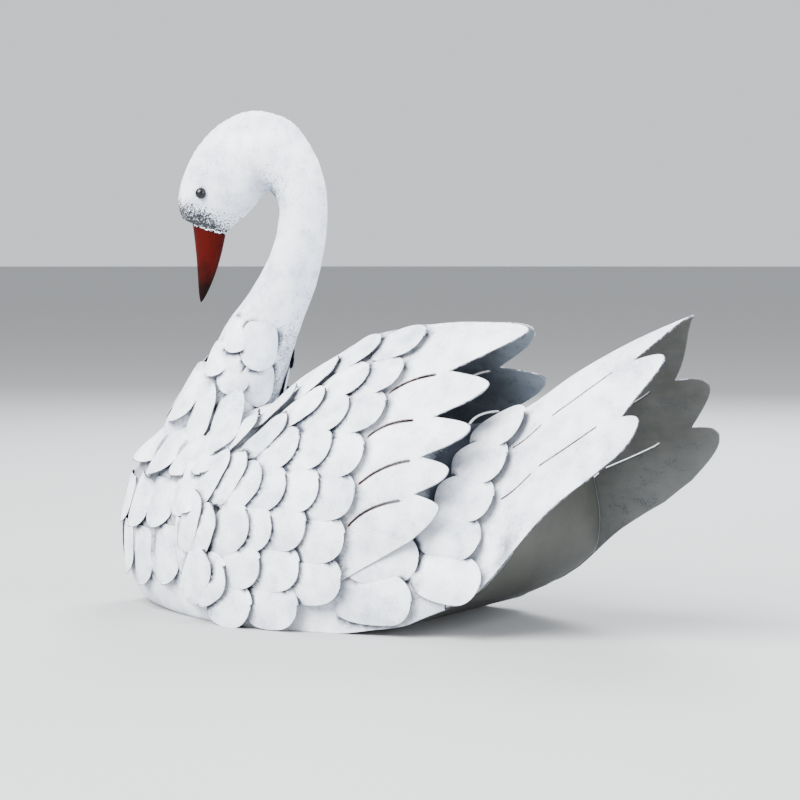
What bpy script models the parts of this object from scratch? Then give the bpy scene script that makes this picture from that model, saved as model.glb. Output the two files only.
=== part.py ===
"""Garden ornament of a swan, cut and bent from white-painted steel sheet.

The swan faces -X, its left side is -Y and it stands on the lower rim of its hollow body at Z = 0.
A closed belly plate, an arched tail sheet, two wing shells and a hooked neck are welded to the body.
Bands with a scalloped free edge stand for the rows of overlapping scale plates.
"""

import math

import bpy
import numpy as np
from mathutils import Vector
from mathutils.geometry import delaunay_2d_cdt

# ---------------------------------------------------------------- driving sizes, in metres
PLATE = 0.0012            # thickness of the main sheets
SCALE_PLATE = 0.0008      # thickness of the scale plates
GAP = 0.0004              # room left where two pieces touch
ORIGIN_SHIFT = 0.00565    # moves every piece along X, so that the origin is under the middle of the box

BODY_FRONT = -0.246       # foremost point of the breast
RIM_FRONT = -0.225        # where the rim first touches the ground
BODY_WIDEST = -0.062      # station of the largest width
BODY_REAR = 0.084         # butt joint between the body shell and the tail sheet
BODY_HALF_WIDTH = 0.101
GROUND_HALF_WIDTH = 0.100

# (station along X, height of the top line)
RIDGE_LINE = (
    (-0.246, 0.062), (-0.242, 0.088), (-0.228, 0.116), (-0.200, 0.141), (-0.165, 0.151),
    (-0.100, 0.153), (-0.030, 0.149), (0.040, 0.147), (0.080, 0.1505), (0.110, 0.163),
    (0.150, 0.189), (0.200, 0.215), (0.245, 0.2335),
)
# (station, height of the lower rim)
RIM_LINE = (
    (-0.246, 0.060), (-0.242, 0.034), (-0.234, 0.010), (-0.225, 0.0), (0.0, 0.0),
    (0.030, 0.004), (0.053, 0.008), (0.068, 0.0145), (0.089, 0.0235),
)
# (station, height of the largest width)
WAIST_LINE = ((-0.246, 0.061), (-0.225, 0.055), (0.0, 0.050), (0.050, 0.036), (0.084, 0.0225))
# (station, half width behind the widest station)
REAR_WIDTHS = ((-0.062, 0.101), (0.0, 0.0965), (0.050, 0.0895), (0.084, 0.082))
# (station, roundness of the upper section: 2 is an ellipse and 1 is a parabola)
ROUNDNESS = ((-0.246, 2.3), (-0.080, 2.3), (0.0, 2.0), (0.084, 1.0))

# (station, width squared over drop of the parabolic tail section)
TAIL_SPREAD = ((0.084, 0.0520), (0.115, 0.0485), (0.160, 0.0500), (0.200, 0.0510), (0.245, 0.0510))
FAR_DROOP = 0.018         # how much lower the right half of the tail hangs
FAR_DROOP_START = 0.105
FAR_DROOP_FULL = 0.185
FAR_DROOP_WIDTH = 0.015
ARC_SPREAD = 0.025        # half of the spread that turns half width into length round the arch

BELLY_TURN = 0.098        # where the belly plate leaves the rim and curves up
BELLY_REAR = 0.136        # upright rear wall of the belly plate
BELLY_TOP = 0.166
DRAIN_RADIUS = 0.006
DRAIN_X = -0.060

WING_BASE = 0.060         # height of the wing's largest width
WING_SPLIT = 0.003        # half of the slot between the two wings along the top
WING_BULGE = 2.25         # exponent of the wing's section
WING_CLEAR = 0.0036       # least distance from the body to the outside of the wing
# (station, height of the wing's top edge)
WING_TOP = (
    (-0.140, 0.140), (-0.110, 0.160), (-0.086, 0.178), (-0.052, 0.197), (-0.022, 0.212),
    (0.016, 0.2195), (0.060, 0.2235), (0.091, 0.2235), (0.112, 0.2185),
)
# (station, half width of the wing)
WING_WIDTHS = (
    (-0.150, 0.084), (-0.120, 0.0965), (-0.097, 0.1015), (-0.062, 0.1050), (-0.033, 0.1035),
    (0.0, 0.1000), (0.050, 0.0925), (0.084, 0.0870), (0.120, 0.0830),
)
# Notches before and after each flight feather, and its tip, as (X, Z) seen from the side
FEATHER_NOTCHES = ((0.064, 0.189), (0.0645, 0.157), (0.0625, 0.129), (0.0615, 0.103))
FEATHER_TIPS = ((0.1105, 0.2175), (0.0995, 0.179), (0.0955, 0.149), (0.0855, 0.1195), (0.0815, 0.093))
WING_LOWER_EDGE = (
    (0.060, 0.069), (0.028, 0.050), (0.004, 0.036), (-0.012, 0.026), (-0.040, 0.0165), (-0.108, 0.0155),
)
WING_FRONT_EDGE = ((-0.136, 0.034), (-0.143, 0.062), (-0.142, 0.092), (-0.135, 0.122), (-0.120, 0.148))
# Start, middle and end of the cut between two flight feathers
WING_SLITS = (
    ((0.022, 0.172), (0.036, 0.181), (0.055, 0.186)),
    ((0.017, 0.141), (0.030, 0.150), (0.050, 0.154)),
    ((0.018, 0.108), (0.035, 0.120), (0.055, 0.126)),
    ((0.013, 0.078), (0.029, 0.091), (0.052, 0.098)),
)
SLIT_WIDTH = 0.0016
SHEET_STEP = 0.020        # spacing of the points inside a cut sheet

# Outline of each half of the tail as (X, length round the arch from the ridge): the lower rim from the
# rear to the front, lobe tips and notches from low to high, and the two guides of the edge up to the ridge
TAIL_TIP = (0.2385, 0.0)
TAIL_LEFT = {
    "rim": ((0.208, 0.115), (0.190, 0.1215), (0.163, 0.1275), (0.140, 0.1375), (0.116, 0.149), (0.1, 0.157)),
    "tips": ((0.2215, 0.100), (0.2325, 0.049)),
    "notches": ((0.2075, 0.083), (0.206, 0.037)),
    "guides": ((0.222, 0.028), (0.236, 0.014)),
}
TAIL_RIGHT = {
    "rim": ((0.208, 0.1225), (0.190, 0.128), (0.167, 0.1335), (0.139, 0.1405), (0.118, 0.148), (0.1, 0.157)),
    "tips": ((0.2325, 0.1015), (0.2335, 0.056)),
    "notches": ((0.2145, 0.0815), (0.210, 0.0395)),
    "guides": ((0.224, 0.026), (0.229, 0.006)),
}
TAIL_RIM_FRONT = (BODY_REAR + GAP, 0.1635)
# (start X, start arc, end X, end arc) of the cuts that run on from the notches
TAIL_SLITS = (
    (0.115, 0.051, 0.138, 0.049), (0.145, 0.048, 0.191, 0.039),
    (0.115, 0.090, 0.139, 0.087), (0.144, 0.086, 0.189, 0.082),
)

# Neck and head: throat edge (X, Z), nape edge (X, Z), half thickness, sharpness of the welded edges
NECK_STATIONS = (
    (-0.214, 0.120, -0.124, 0.142, 0.040, 1.0),
    (-0.203, 0.145, -0.112, 0.170, 0.042, 1.0),
    (-0.187, 0.168, -0.1035, 0.188, 0.035, 1.1),
    (-0.170, 0.191, -0.096, 0.204, 0.029, 1.25),
    (-0.1535, 0.2195, -0.0865, 0.2245, 0.0255, 1.4),
    (-0.134, 0.242, -0.0755, 0.2485, 0.0230, 1.5),
    (-0.118, 0.265, -0.069, 0.2715, 0.0205, 1.5),
    (-0.109, 0.286, -0.0655, 0.2905, 0.0188, 1.5),
    (-0.1055, 0.3035, -0.0648, 0.3125, 0.0180, 1.5),
    (-0.1075, 0.3125, -0.0675, 0.3305, 0.0180, 1.5),
    (-0.111, 0.3185, -0.077, 0.352, 0.0182, 1.5),
    (-0.115, 0.3215, -0.0965, 0.374, 0.0186, 1.5),
    (-0.120, 0.3205, -0.129, 0.383, 0.0190, 1.5),
    (-0.133, 0.3075, -0.158, 0.3755, 0.0192, 1.5),
    (-0.146, 0.298, -0.1815, 0.357, 0.0190, 1.5),
    (-0.1525, 0.2935, -0.1945, 0.336, 0.0175, 1.4),
    (-0.1555, 0.2915, -0.200, 0.3165, 0.0150, 1.3),
    (-0.1575, 0.2903, -0.1965, 0.3025, 0.0125, 1.2),
)
HEAD_START = 12           # station where the head begins
NECK_POINTS = 14          # points round a section

BEAK_BASE = ((-0.1575, 0.2895), (-0.1862, 0.2983))
BEAK_TIP = (-0.1800, 0.2358)
BEAK_HALF_THICKNESS = 0.0105
BEAK_BEND = 0.0024
BEAK_TAPER = 0.70
BEAK_POINTS = 16

EYE_PLACE = (-0.1660, 0.3203)
EYE_RADIUS = 0.0044

# Wing scales, rearmost column first: X of the tips at mid height, then the heights of the tips
WING_COLUMNS = (
    (0.013, (0.217, 0.189, 0.167, 0.136, 0.108, 0.075, 0.050)),
    (-0.016, (0.212, 0.187, 0.169, 0.143, 0.111, 0.083, 0.053, 0.023)),
    (-0.045, (0.193, 0.169, 0.141, 0.114, 0.084, 0.054, 0.017)),
    (-0.071, (0.172, 0.152, 0.120, 0.088, 0.048, 0.008)),
    (-0.098, (0.155, 0.129, 0.103, 0.078, 0.050)),
    (-0.122, (0.132, 0.108, 0.082, 0.054)),
)
COLUMN_SLANT = 0.12       # how far the tips move back for each metre of height
COLUMN_MIDDLE = 0.110
SCALE_LENGTH = 0.040
LOBE_DEPTH = 0.014
ROOT_LIFT = 0.0009
TIP_LIFT = 0.0046
NECK_ROOT_LIFT = 0.0012
BREAST_ROOT_LIFT = 0.0008

# Body scales behind the wing: X of the tips, arc positions of the lobe joints, length
REAR_BANDS = (
    (0.114, (0.004, 0.034, 0.066, 0.098, 0.128, 0.150), 0.050),
    (0.066, (0.080, 0.104, 0.128, 0.150), 0.040),
)

# Scale rows round the neck: station along the neck of the tips, reach to each side, number of lobes
NECK_BANDS = ((2.75, 0.66, 5), (1.75, 0.74, 7), (0.75, 0.84, 9))
NECK_BAND_LENGTH = 1.25   # in stations
# Scale rows round the breast: heights of tips and roots, reach to each side in radians, number of lobes
BREAST_BANDS = ((0.095, 0.132, 1.15, 7), (0.056, 0.100, 1.40, 8), (0.014, 0.060, 1.40, 8))
BREAST_CENTRE = -0.150

COLOURS = {
    "white_paint": ((0.80, 0.82, 0.86), 0.42, 0.1),
    "beak_red": ((0.30, 0.012, 0.008), 0.35, 0.1),
    "eye_black": ((0.004, 0.004, 0.005), 0.12, 0.0),
}


# ---------------------------------------------------------------- curves through named points
def slopes_of(xs, ys):
    """Slopes at the points that keep the curve between its points, with no overshoot."""
    steps = np.diff(xs)
    rises = np.diff(ys) / steps
    slopes = np.zeros(len(xs))
    slopes[0], slopes[-1] = rises[0], rises[-1]
    for i in range(1, len(xs) - 1):
        if rises[i - 1] * rises[i] > 0:
            before = 2 * steps[i] + steps[i - 1]
            after = steps[i] + 2 * steps[i - 1]
            slopes[i] = (before + after) / (before / rises[i - 1] + after / rises[i])
    return slopes


def value_at(rows, x):
    """The smooth curve through (x, value) rows, read at one x and held level past its ends."""
    xs = np.array([row[0] for row in rows], float)
    ys = np.array([row[1] for row in rows], float)
    x = min(max(x, xs[0]), xs[-1])
    i = min(int(np.searchsorted(xs, x, side="right")) - 1, len(xs) - 2)
    slopes = slopes_of(xs, ys)
    step = xs[i + 1] - xs[i]
    t = (x - xs[i]) / step
    start = (1 + 2 * t) * (1 - t) ** 2 * ys[i] + t * (1 - t) ** 2 * step * slopes[i]
    end = t * t * (3 - 2 * t) * ys[i + 1] + t * t * (t - 1) * step * slopes[i + 1]
    return start + end


def bezier(start, lead, follow, end, count):
    """Points along a cubic, without its last one."""
    points = []
    for i in range(count):
        t = i / count
        weights = ((1 - t) ** 3, 3 * t * (1 - t) ** 2, 3 * t * t * (1 - t), t ** 3)
        points.append(tuple(sum(w * np.array(p, float) for w, p in zip(weights, (start, lead, follow, end)))))
    return points


def lobe(start, tip, end, up, blunt, count=4):
    """One feather end from notch to notch by way of its rounded tip. Up is the side it starts on."""
    start, tip, end, up = (np.array(p, float) for p in (start, tip, end, up))
    far = tip + up * blunt
    near = tip - up * blunt * 1.6
    upper = bezier(start, start + 0.55 * (far - start), far, tip, count)
    lower = bezier(tip, near, end + 0.45 * (near - end), end, count)
    return upper + lower


# ---------------------------------------------------------------- the body's surface
def body_half_width(x):
    if x > BODY_WIDEST:
        return value_at(REAR_WIDTHS, x)
    reach = (BODY_WIDEST - x) / (BODY_WIDEST - BODY_FRONT)
    return BODY_HALF_WIDTH * max(1 - reach ** 1.8, 0) ** 0.6


def ground_half_width(x):
    if x > BODY_WIDEST:
        return value_at(REAR_WIDTHS, x) - 0.001
    reach = min((BODY_WIDEST - x) / (BODY_WIDEST - RIM_FRONT), 1)
    return GROUND_HALF_WIDTH * (1 - reach ** 1.6) ** 0.85


def body_section(x, angle):
    """Half width and height at an angle from 0 on the ridge by way of 1 at the waist to 2 on the rim."""
    top, waist, rim = (value_at(line, x) for line in (RIDGE_LINE, WAIST_LINE, RIM_LINE))
    width = body_half_width(x)
    ground = min(ground_half_width(x), width)
    if angle <= 1:
        turn = angle * math.pi / 2
        share = max(math.cos(turn), 0) ** (2 / value_at(ROUNDNESS, x))
        return width * math.sin(turn), waist + (top - waist) * share
    turn = (angle - 1) * math.pi / 2
    return ground + (width - ground) * math.cos(turn), waist - (waist - rim) * math.sin(turn)


def body_reach(x, z):
    """Half width of the body at a station and height, 0 above its ridge."""
    if x <= BODY_FRONT:
        return 0.0
    top, waist, rim = (value_at(line, x) for line in (RIDGE_LINE, WAIST_LINE, RIM_LINE))
    width = body_half_width(x)
    if z >= top or z < rim - 0.001:
        return 0.0
    if z >= waist:
        share = (z - waist) / (top - waist)
        return width * math.sqrt(max(1 - share ** value_at(ROUNDNESS, x), 0))
    ground = min(ground_half_width(x), width)
    share = min((waist - z) / max(waist - rim, 1e-6), 1)
    return ground + (width - ground) * math.sqrt(1 - share * share)


# ---------------------------------------------------------------- the tail's surface
def arc_of(width):
    """Length round the arch from the ridge to a half width."""
    slope = width / ARC_SPREAD
    return ARC_SPREAD / 2 * (slope * math.sqrt(1 + slope * slope) + math.asinh(slope))


ARC_WIDTHS = np.linspace(0, 0.11, 300)
ARC_LENGTHS = np.array([arc_of(width) for width in ARC_WIDTHS])


def tail_point(x, arc):
    """Point on the outside of the tail arch. A negative arc is on the left."""
    width = float(np.interp(abs(arc), ARC_LENGTHS, ARC_WIDTHS))
    drop = width * width / value_at(TAIL_SPREAD, x)
    if arc > 0:
        ramp = min(max((x - FAR_DROOP_START) / (FAR_DROOP_FULL - FAR_DROOP_START), 0), 1)
        drop += FAR_DROOP * ramp * (1 - math.exp(-width / FAR_DROOP_WIDTH))
    return Vector((x, math.copysign(width, arc), value_at(RIDGE_LINE, x) - drop))


def rear_point(x, arc):
    """Point on the body or tail, whichever is at that station."""
    if x >= BODY_REAR:
        return tail_point(x, arc)
    width = float(np.interp(abs(arc), ARC_LENGTHS, ARC_WIDTHS))
    angle = math.asin(min(width / body_half_width(BODY_REAR), 1)) * 2 / math.pi
    across, height = body_section(x, angle)
    return Vector((x, math.copysign(across, arc), height))


# ---------------------------------------------------------------- the wings' surface
def wing_reach(x, z):
    top, width = value_at(WING_TOP, x), value_at(WING_WIDTHS, x)
    share = min(max((top - z) / (top - WING_BASE), 0), 1)
    shell = WING_SPLIT + (width - WING_SPLIT) * (1 - (1 - share) ** WING_BULGE)
    rest = body_reach(x, max(z - 1.2 * WING_CLEAR, WING_BASE if z > WING_BASE else z)) + WING_CLEAR
    if z < WING_BASE:
        shell -= 0.0015 * ((WING_BASE - z) / WING_BASE) ** 2
    return (shell + rest) / 2 + math.hypot((shell - rest) / 2, 0.0008)


def wing_surface(side):
    return lambda x, z: Vector((x, side * wing_reach(x, z), z))


# ---------------------------------------------------------------- the neck's surface
def neck_row(u):
    """Throat, nape, half thickness and sharpness at a station number, between stations by a cubic."""
    last = len(NECK_STATIONS) - 1
    i = min(max(int(u), 0), last - 1)
    t = u - i
    rows = [np.array(NECK_STATIONS[min(max(k, 0), last)]) for k in (i - 1, i, i + 1, i + 2)]
    before, start, end, after = rows
    pull_start, pull_end = (end - before) / 2, (after - start) / 2
    first = (1 + 2 * t) * (1 - t) ** 2 * start + t * (1 - t) ** 2 * pull_start
    return first + t * t * (3 - 2 * t) * end + t * t * (t - 1) * pull_end


def neck_point(u, turn):
    """Point on the neck: turn 0 is the nape, 1 is the throat, and from 0 to 1 is the left side."""
    throat_x, throat_z, nape_x, nape_z, thickness, sharp = neck_row(u)
    angle = turn * math.pi
    across = math.cos(angle)
    width = thickness * abs(math.sin(angle)) ** sharp
    x = (throat_x + nape_x) / 2 + across * (nape_x - throat_x) / 2
    z = (throat_z + nape_z) / 2 + across * (nape_z - throat_z) / 2
    return Vector((x, -math.copysign(width, math.sin(angle)), z))


def breast_point(angle, z):
    """Point on the front of the body, by the angle from the front and the height."""
    near, far = 0.0, 0.14
    for _ in range(40):
        middle = (near + far) / 2
        x = BREAST_CENTRE - middle * math.cos(angle)
        if middle * abs(math.sin(angle)) < body_reach(x, z):
            near = middle
        else:
            far = middle
    return Vector((BREAST_CENTRE - near * math.cos(angle), -near * math.sin(angle), z))


# ---------------------------------------------------------------- making objects
def paint(name):
    material = bpy.data.materials.get(name)
    if material is None:
        colour, roughness, metallic = COLOURS[name]
        material = bpy.data.materials.new(name)
        material.use_nodes = True
        shader = material.node_tree.nodes["Principled BSDF"]
        shader.inputs["Base Color"].default_value = (*colour, 1)
        shader.inputs["Roughness"].default_value = roughness
        shader.inputs["Metallic"].default_value = metallic
    return material


def mesh_object(name, points, faces, material):
    mesh = bpy.data.meshes.new(name)
    mesh.from_pydata([(x + ORIGIN_SHIFT, y, z) for x, y, z in points], [], faces)
    mesh.validate()
    mesh.shade_smooth()
    mesh.set_sharp_from_angle(angle=math.radians(40))
    made = bpy.data.objects.new(name, mesh)
    made.data.materials.append(paint(material))
    bpy.context.scene.collection.objects.link(made)
    return made


def thicken(made, thickness, direction=-1):
    solid = made.modifiers.new("plate", "SOLIDIFY")
    solid.thickness = thickness
    solid.offset = direction
    solid.use_even_offset = False
    return made


def inside(point, loop):
    """Whether a flat point is inside a closed loop."""
    hits = False
    for (ax, ay), (bx, by) in zip(loop, loop[1:] + loop[:1]):
        if (ay > point[1]) != (by > point[1]):
            hits ^= point[0] < ax + (point[1] - ay) / (by - ay) * (bx - ax)
    return hits


def clear_of(point, loop, distance):
    """Whether a flat point is at least this far from every side of a loop."""
    for (ax, ay), (bx, by) in zip(loop, loop[1:] + loop[:1]):
        dx, dy = bx - ax, by - ay
        length = dx * dx + dy * dy
        t = 0 if length == 0 else min(max(((point[0] - ax) * dx + (point[1] - ay) * dy) / length, 0), 1)
        if math.hypot(point[0] - ax - t * dx, point[1] - ay - t * dy) < distance:
            return False
    return True


def flat_triangles(outline, holes, step):
    """Triangles that fill an outline with holes, with inner points on a grid of this step."""
    outer = [tuple(map(float, p)) for p in outline]
    cuts = [[tuple(map(float, p)) for p in hole] for hole in holes]
    points, edges = [], []
    for loop in (outer, *cuts):
        first = len(points)
        points += [Vector(p) for p in loop]
        edges += [(first + i, first + (i + 1) % len(loop)) for i in range(len(loop))]
    low = np.min(outer, axis=0)
    high = np.max(outer, axis=0)
    for i in range(1, int((high[0] - low[0]) / step) + 1):
        for j in range(1, int((high[1] - low[1]) / step) + 1):
            point = (low[0] + i * step, low[1] + (j + 0.5 * (i % 2)) * step)
            if inside(point, outer) and all(clear_of(point, loop, 0.45 * step) for loop in (outer, *cuts)):
                points.append(Vector(point))
    inside_with_holes = 2
    found = delaunay_2d_cdt(points, edges, [], inside_with_holes, 1e-7)
    corners = [tuple(p) for p in found[0]]
    faces = [tuple(face) for face in found[2]]
    middles = [np.mean([corners[i] for i in face], axis=0) for face in faces]
    cut_out = [any(inside(middle, hole) for hole in cuts) for middle in middles]
    return corners, [face for face, out in zip(faces, cut_out) if not out]


def normal_at(surface, a, b, outward):
    """Unit normal of a surface, turned to the side that the outward point is on."""
    reach = 0.0005
    along = surface(a + reach, b) - surface(a - reach, b)
    across = surface(a, b + reach) - surface(a, b - reach)
    normal = along.cross(across).normalized()
    return normal if normal.dot(surface(a, b) - outward) > 0 else -normal


def sheet(name, outline, surface, inner, holes):
    """A plate cut to a flat outline with holes and bent onto a surface, facing away from an inner point."""
    flat, faces = flat_triangles(outline, holes, SHEET_STEP)
    points = [surface(a, b) for a, b in flat]
    return thicken(mesh_object(name, points, facing(points, faces, inner), "white_paint"), PLATE)


def facing(points, faces, inner):
    """The faces, all turned over if on the whole they face an inner point."""
    total = 0
    for face in faces:
        a, b, c = (points[i] for i in face[:3])
        total += (b - a).cross(c - a).dot(a - inner)
    return faces if total > 0 else [face[::-1] for face in faces]


def cut_away(made, cutter):
    """Takes a hidden cutter's volume from an object."""
    cutter.hide_render = True
    cutter.display_type = "WIRE"
    cut = made.modifiers.new("cut", "BOOLEAN")
    cut.operation = "DIFFERENCE"
    cut.solver = "EXACT"
    cut.object = cutter
    return made


def grid_faces(rows, columns, closed=False):
    """Faces of a grid of points stored row by row, closed round each row if asked."""
    faces = []
    for i in range(rows - 1):
        for j in range(columns if closed else columns - 1):
            following = (j + 1) % columns
            here, above = i * columns, (i + 1) * columns
            faces.append((here + j, here + following, above + following, above + j))
    return faces


# ---------------------------------------------------------------- body shell and belly plate
def body_stations():
    nose = [BODY_FRONT + (RIM_FRONT - BODY_FRONT) * share for share in (0.02, 0.12, 0.32, 0.62)]
    rest = [-0.225, -0.212, -0.195, -0.172, -0.145, -0.110, -0.062, -0.020, 0.020, 0.050, BODY_REAR - GAP]
    return nose + rest


BODY_ANGLES = [2.0, 1.6, 1.2, 0.9, 0.67, 0.45, 0.22, 0.0]


def body_grid(grow=0.0):
    """Rings of points over the body from the left rim to the right one, grown outwards if asked."""
    rings = []
    for x in body_stations():
        ring = []
        for angle in BODY_ANGLES + BODY_ANGLES[-2::-1]:
            width, height = body_section(x, angle)
            side = -1 if len(ring) < len(BODY_ANGLES) - 1 else 1
            ring.append(Vector((x, side * width, height)))
        rings.append(ring)
    if grow:
        for ring in rings:
            for point in ring:
                point += (point - Vector((point.x * 0.9 - 0.005, 0, 0.05))).normalized() * grow
    return rings


def body_surface(grow, rear_cap):
    """Points and faces of the body's outside, open below and at the rear unless capped."""
    rings = body_grid(grow)
    columns = len(rings[0])
    points = [p for ring in rings for p in ring]
    faces = grid_faces(len(rings), columns, closed=rear_cap)
    nose = len(points)
    points.append(Vector((BODY_FRONT - grow, 0, value_at(RIDGE_LINE, BODY_FRONT) - 0.001)))
    faces += [(j + 1, j, nose) for j in range(columns - 1)]
    if rear_cap:
        last = (len(rings) - 1) * columns
        points.append(Vector((BODY_REAR, 0, 0.06)))
        faces.append((0, columns - 1, nose))
        faces += [(last + j, last + (j + 1) % columns, nose + 1) for j in range(columns)]
    return points, facing(points, faces, Vector((-0.05, 0, 0.06)))


def body_shell():
    made = mesh_object("body_shell", *body_surface(0, False), "white_paint")
    weld = made.modifiers.new("weld", "WELD")
    weld.merge_threshold = 0.00005
    return thicken(made, PLATE)


def body_cutter():
    """The body's outside as one closed solid, grown a little, to trim the neck where it lands."""
    return mesh_object("body_cutter", *body_surface(GAP, True), "white_paint")


def belly_profile():
    """(X, Z) points of the underside, from the front of the flat to the top of the rear wall."""
    stations = (-0.221, -0.212, -0.195, -0.172, -0.145, -0.110, -0.070, -0.030, 0.0, 0.026, 0.050, 0.078)
    floor = [(x, value_at(RIM_LINE, x)) for x in stations]
    turn = (BELLY_TURN, value_at(RIM_LINE, BELLY_TURN))
    curve = bezier(turn, (0.112, 0.025), (0.134, 0.045), (BELLY_REAR, 0.085), 7)
    wall = [(BELLY_REAR, z) for z in (0.085, 0.105, 0.132, 0.152, BELLY_TOP)]
    return floor + curve + wall


def belly_half_width(x, z, side):
    """Half width that leaves the belly plate just inside the body or tail sheet."""
    if x <= BODY_REAR:
        return max(body_section(x, 2.0)[0] - 2 * PLATE - GAP, 0.002)
    widths = np.linspace(0, 0.1, 201)
    heights = [tail_point(x, side * arc_of(width)).z for width in widths]
    fits = [width for width, height in zip(widths, heights) if height > z + 2.5 * PLATE]
    return max(fits) - 2 * PLATE


def drain_cutter():
    """An upright cylinder for the drain hole in the belly plate."""
    around = 12
    turns = [2 * math.pi * k / around for k in range(around)]
    circle = [(DRAIN_X + DRAIN_RADIUS * math.cos(turn), DRAIN_RADIUS * math.sin(turn)) for turn in turns]
    points = [Vector((x, y, z)) for z in (-0.01, 0.01) for x, y in circle]
    faces = grid_faces(2, around, closed=True)
    faces += [tuple(range(around))[::-1], tuple(range(around, 2 * around))]
    return mesh_object("drain_cutter", points, faces, "white_paint")


def belly_plate():
    profile = belly_profile()
    shares = (-1, -0.6, 0, 0.6, 1)
    points = []
    for x, z in profile:
        for share in shares:
            side = math.copysign(1, share)
            edge = max(z, rim_height(x, side) + GAP) if x > BODY_REAR else z
            width = belly_half_width(x, edge, side)
            points.append(Vector((x, share * width, z + (edge - z) * share * share)))
    faces = facing(points, grid_faces(len(profile), len(shares)), Vector((0, 0, 0.08)))
    made = thicken(mesh_object("belly_plate", points, faces, "white_paint"), PLATE)
    return cut_away(made, drain_cutter())


# ---------------------------------------------------------------- tail and wings
def tail_half(half):
    """Flat outline of one half from beside the ridge, round its rim, to just before the tip on the ridge."""
    low_tip, high_tip = half["tips"]
    low_notch, high_notch = half["notches"]
    front, last_arc = TAIL_RIM_FRONT
    line = [(front, last_arc * share) for share in (0.06, 0.18, 0.32, 0.46, 0.60, 0.74, 0.87, 1)]
    line += list(half["rim"][:0:-1])
    line += lobe(half["rim"][0], low_tip, low_notch, (-0.35, 0.94), 0.008)
    line += lobe(low_notch, high_tip, high_notch, (0.1, 0.99), 0.006)
    return line + bezier(high_notch, *half["guides"], TAIL_TIP, 6)


def tail_outline():
    left = [(x, -arc) for x, arc in tail_half(TAIL_LEFT)]
    return left + [TAIL_TIP] + [(x, arc) for x, arc in tail_half(TAIL_RIGHT)][::-1]


def rim_height(x, side):
    """Height of the tail's lower rim on one side."""
    rim = [TAIL_RIM_FRONT] + list((TAIL_LEFT if side < 0 else TAIL_RIGHT)["rim"][::-1])
    return tail_point(x, side * float(np.interp(x, *zip(*rim)))).z


def slit(points, width):
    """A narrow closed loop along a bent line of flat points, pointed at both ends."""
    line = [np.array(p, float) for p in points]
    edge = []
    for i in range(1, len(line) - 1):
        along = line[i + 1] - line[i - 1]
        along /= np.linalg.norm(along)
        edge.append(np.array((-along[1], along[0])) * width / 2)
    there = [tuple(line[i + 1] + side) for i, side in enumerate(edge)]
    back = [tuple(line[i + 1] - side) for i, side in enumerate(edge)][::-1]
    return [tuple(line[0])] + there + [tuple(line[-1])] + back


def arched_slit(start, middle, end, width):
    """A slit along the parabola through three points."""
    start, middle, end = (np.array(p, float) for p in (start, middle, end))
    peak = 2 * middle - (start + end) / 2
    shares = (0, 0.08, 0.35, 0.65, 0.92, 1)
    return slit([(1 - t) ** 2 * start + 2 * t * (1 - t) * peak + t * t * end for t in shares], width)


def tail():
    holes = []
    for side in (-1, 1):
        for start_x, start_arc, end_x, end_arc in TAIL_SLITS:
            start, end = np.array((start_x, side * start_arc)), np.array((end_x, side * end_arc))
            line = [start + t * (end - start) for t in (0, 0.1, 0.9, 1)]
            holes.append(slit(line, SLIT_WIDTH))
    return sheet("tail", tail_outline(), tail_point, Vector((0.16, 0, 0)), holes)


def wing_outline():
    """Seen from the side: top edge from front to rear, flight feathers, lower edge and front edge."""
    stations = (-0.110, -0.092, -0.075, -0.055, -0.035, -0.015, 0.010, 0.040, 0.070)
    top = [(x, value_at(WING_TOP, x)) for x in stations]
    starts = [(0.090, value_at(WING_TOP, 0.090)), *FEATHER_NOTCHES]
    ends = [*FEATHER_NOTCHES, WING_LOWER_EDGE[0]]
    outline = top
    for start, tip, end in zip(starts, FEATHER_TIPS, ends):
        outline = outline + lobe(start, tip, end, (0.12, 0.99), 0.0045)
    return outline + list(WING_LOWER_EDGE) + list(WING_FRONT_EDGE)


def wing(name, side):
    slits = [arched_slit(*cut, SLIT_WIDTH) for cut in WING_SLITS]
    outward = Vector((-0.02, 0, 0.03))
    return sheet(name, wing_outline(), wing_surface(side), outward, slits)


# ---------------------------------------------------------------- neck, head, beak and eyes
def tube_rings(stations):
    rings = []
    for u in stations:
        ring = [neck_point(u, 2 * k / NECK_POINTS - 1) for k in range(NECK_POINTS)]
        rings.append(ring)
    return rings


def neck(cutter):
    """Two pressed halves welded along throat and nape, hollow, and open at both ends."""
    stations = [0, 1, 1.5, 2, 2.5, 3, 3.5, 4, 5, 6, 7, 8, 9, 10, 11, HEAD_START]
    rings = tube_rings(stations)
    drop = (rings[0][0] - rings[1][0]).normalized() * 0.012
    rings.insert(0, [p + drop for p in rings[0]])
    shift = neck_point(HEAD_START, 0) - neck_point(HEAD_START - 0.05, 0)
    rings[-1] = [p - shift.normalized() * 2 * GAP for p in rings[-1]]
    points = [p for ring in rings for p in ring]
    faces = facing(points, grid_faces(len(rings), NECK_POINTS, closed=True), Vector((-0.09, 0, 0.27)))
    return cut_away(thicken(mesh_object("neck", points, faces, "white_paint"), PLATE), cutter)


def head():
    """The pressed halves from the top of the hook to the flat face that the beak is welded to."""
    last = len(NECK_STATIONS) - 1
    rings = tube_rings([HEAD_START, 12.5, 13, 13.5, 14, 14.5, 15, 16, last])
    points = [p for ring in rings for p in ring]
    faces = grid_faces(len(rings), NECK_POINTS, closed=True)
    middle = sum(rings[-1], Vector()) / NECK_POINTS
    points.append(middle)
    base = (len(rings) - 1) * NECK_POINTS
    faces += [(base + j, base + (j + 1) % NECK_POINTS, len(points) - 1) for j in range(NECK_POINTS)]
    faces = facing(points, faces, Vector((-0.155, 0, 0.33)))
    return thicken(mesh_object("head", points, faces, "white_paint"), PLATE)


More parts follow.
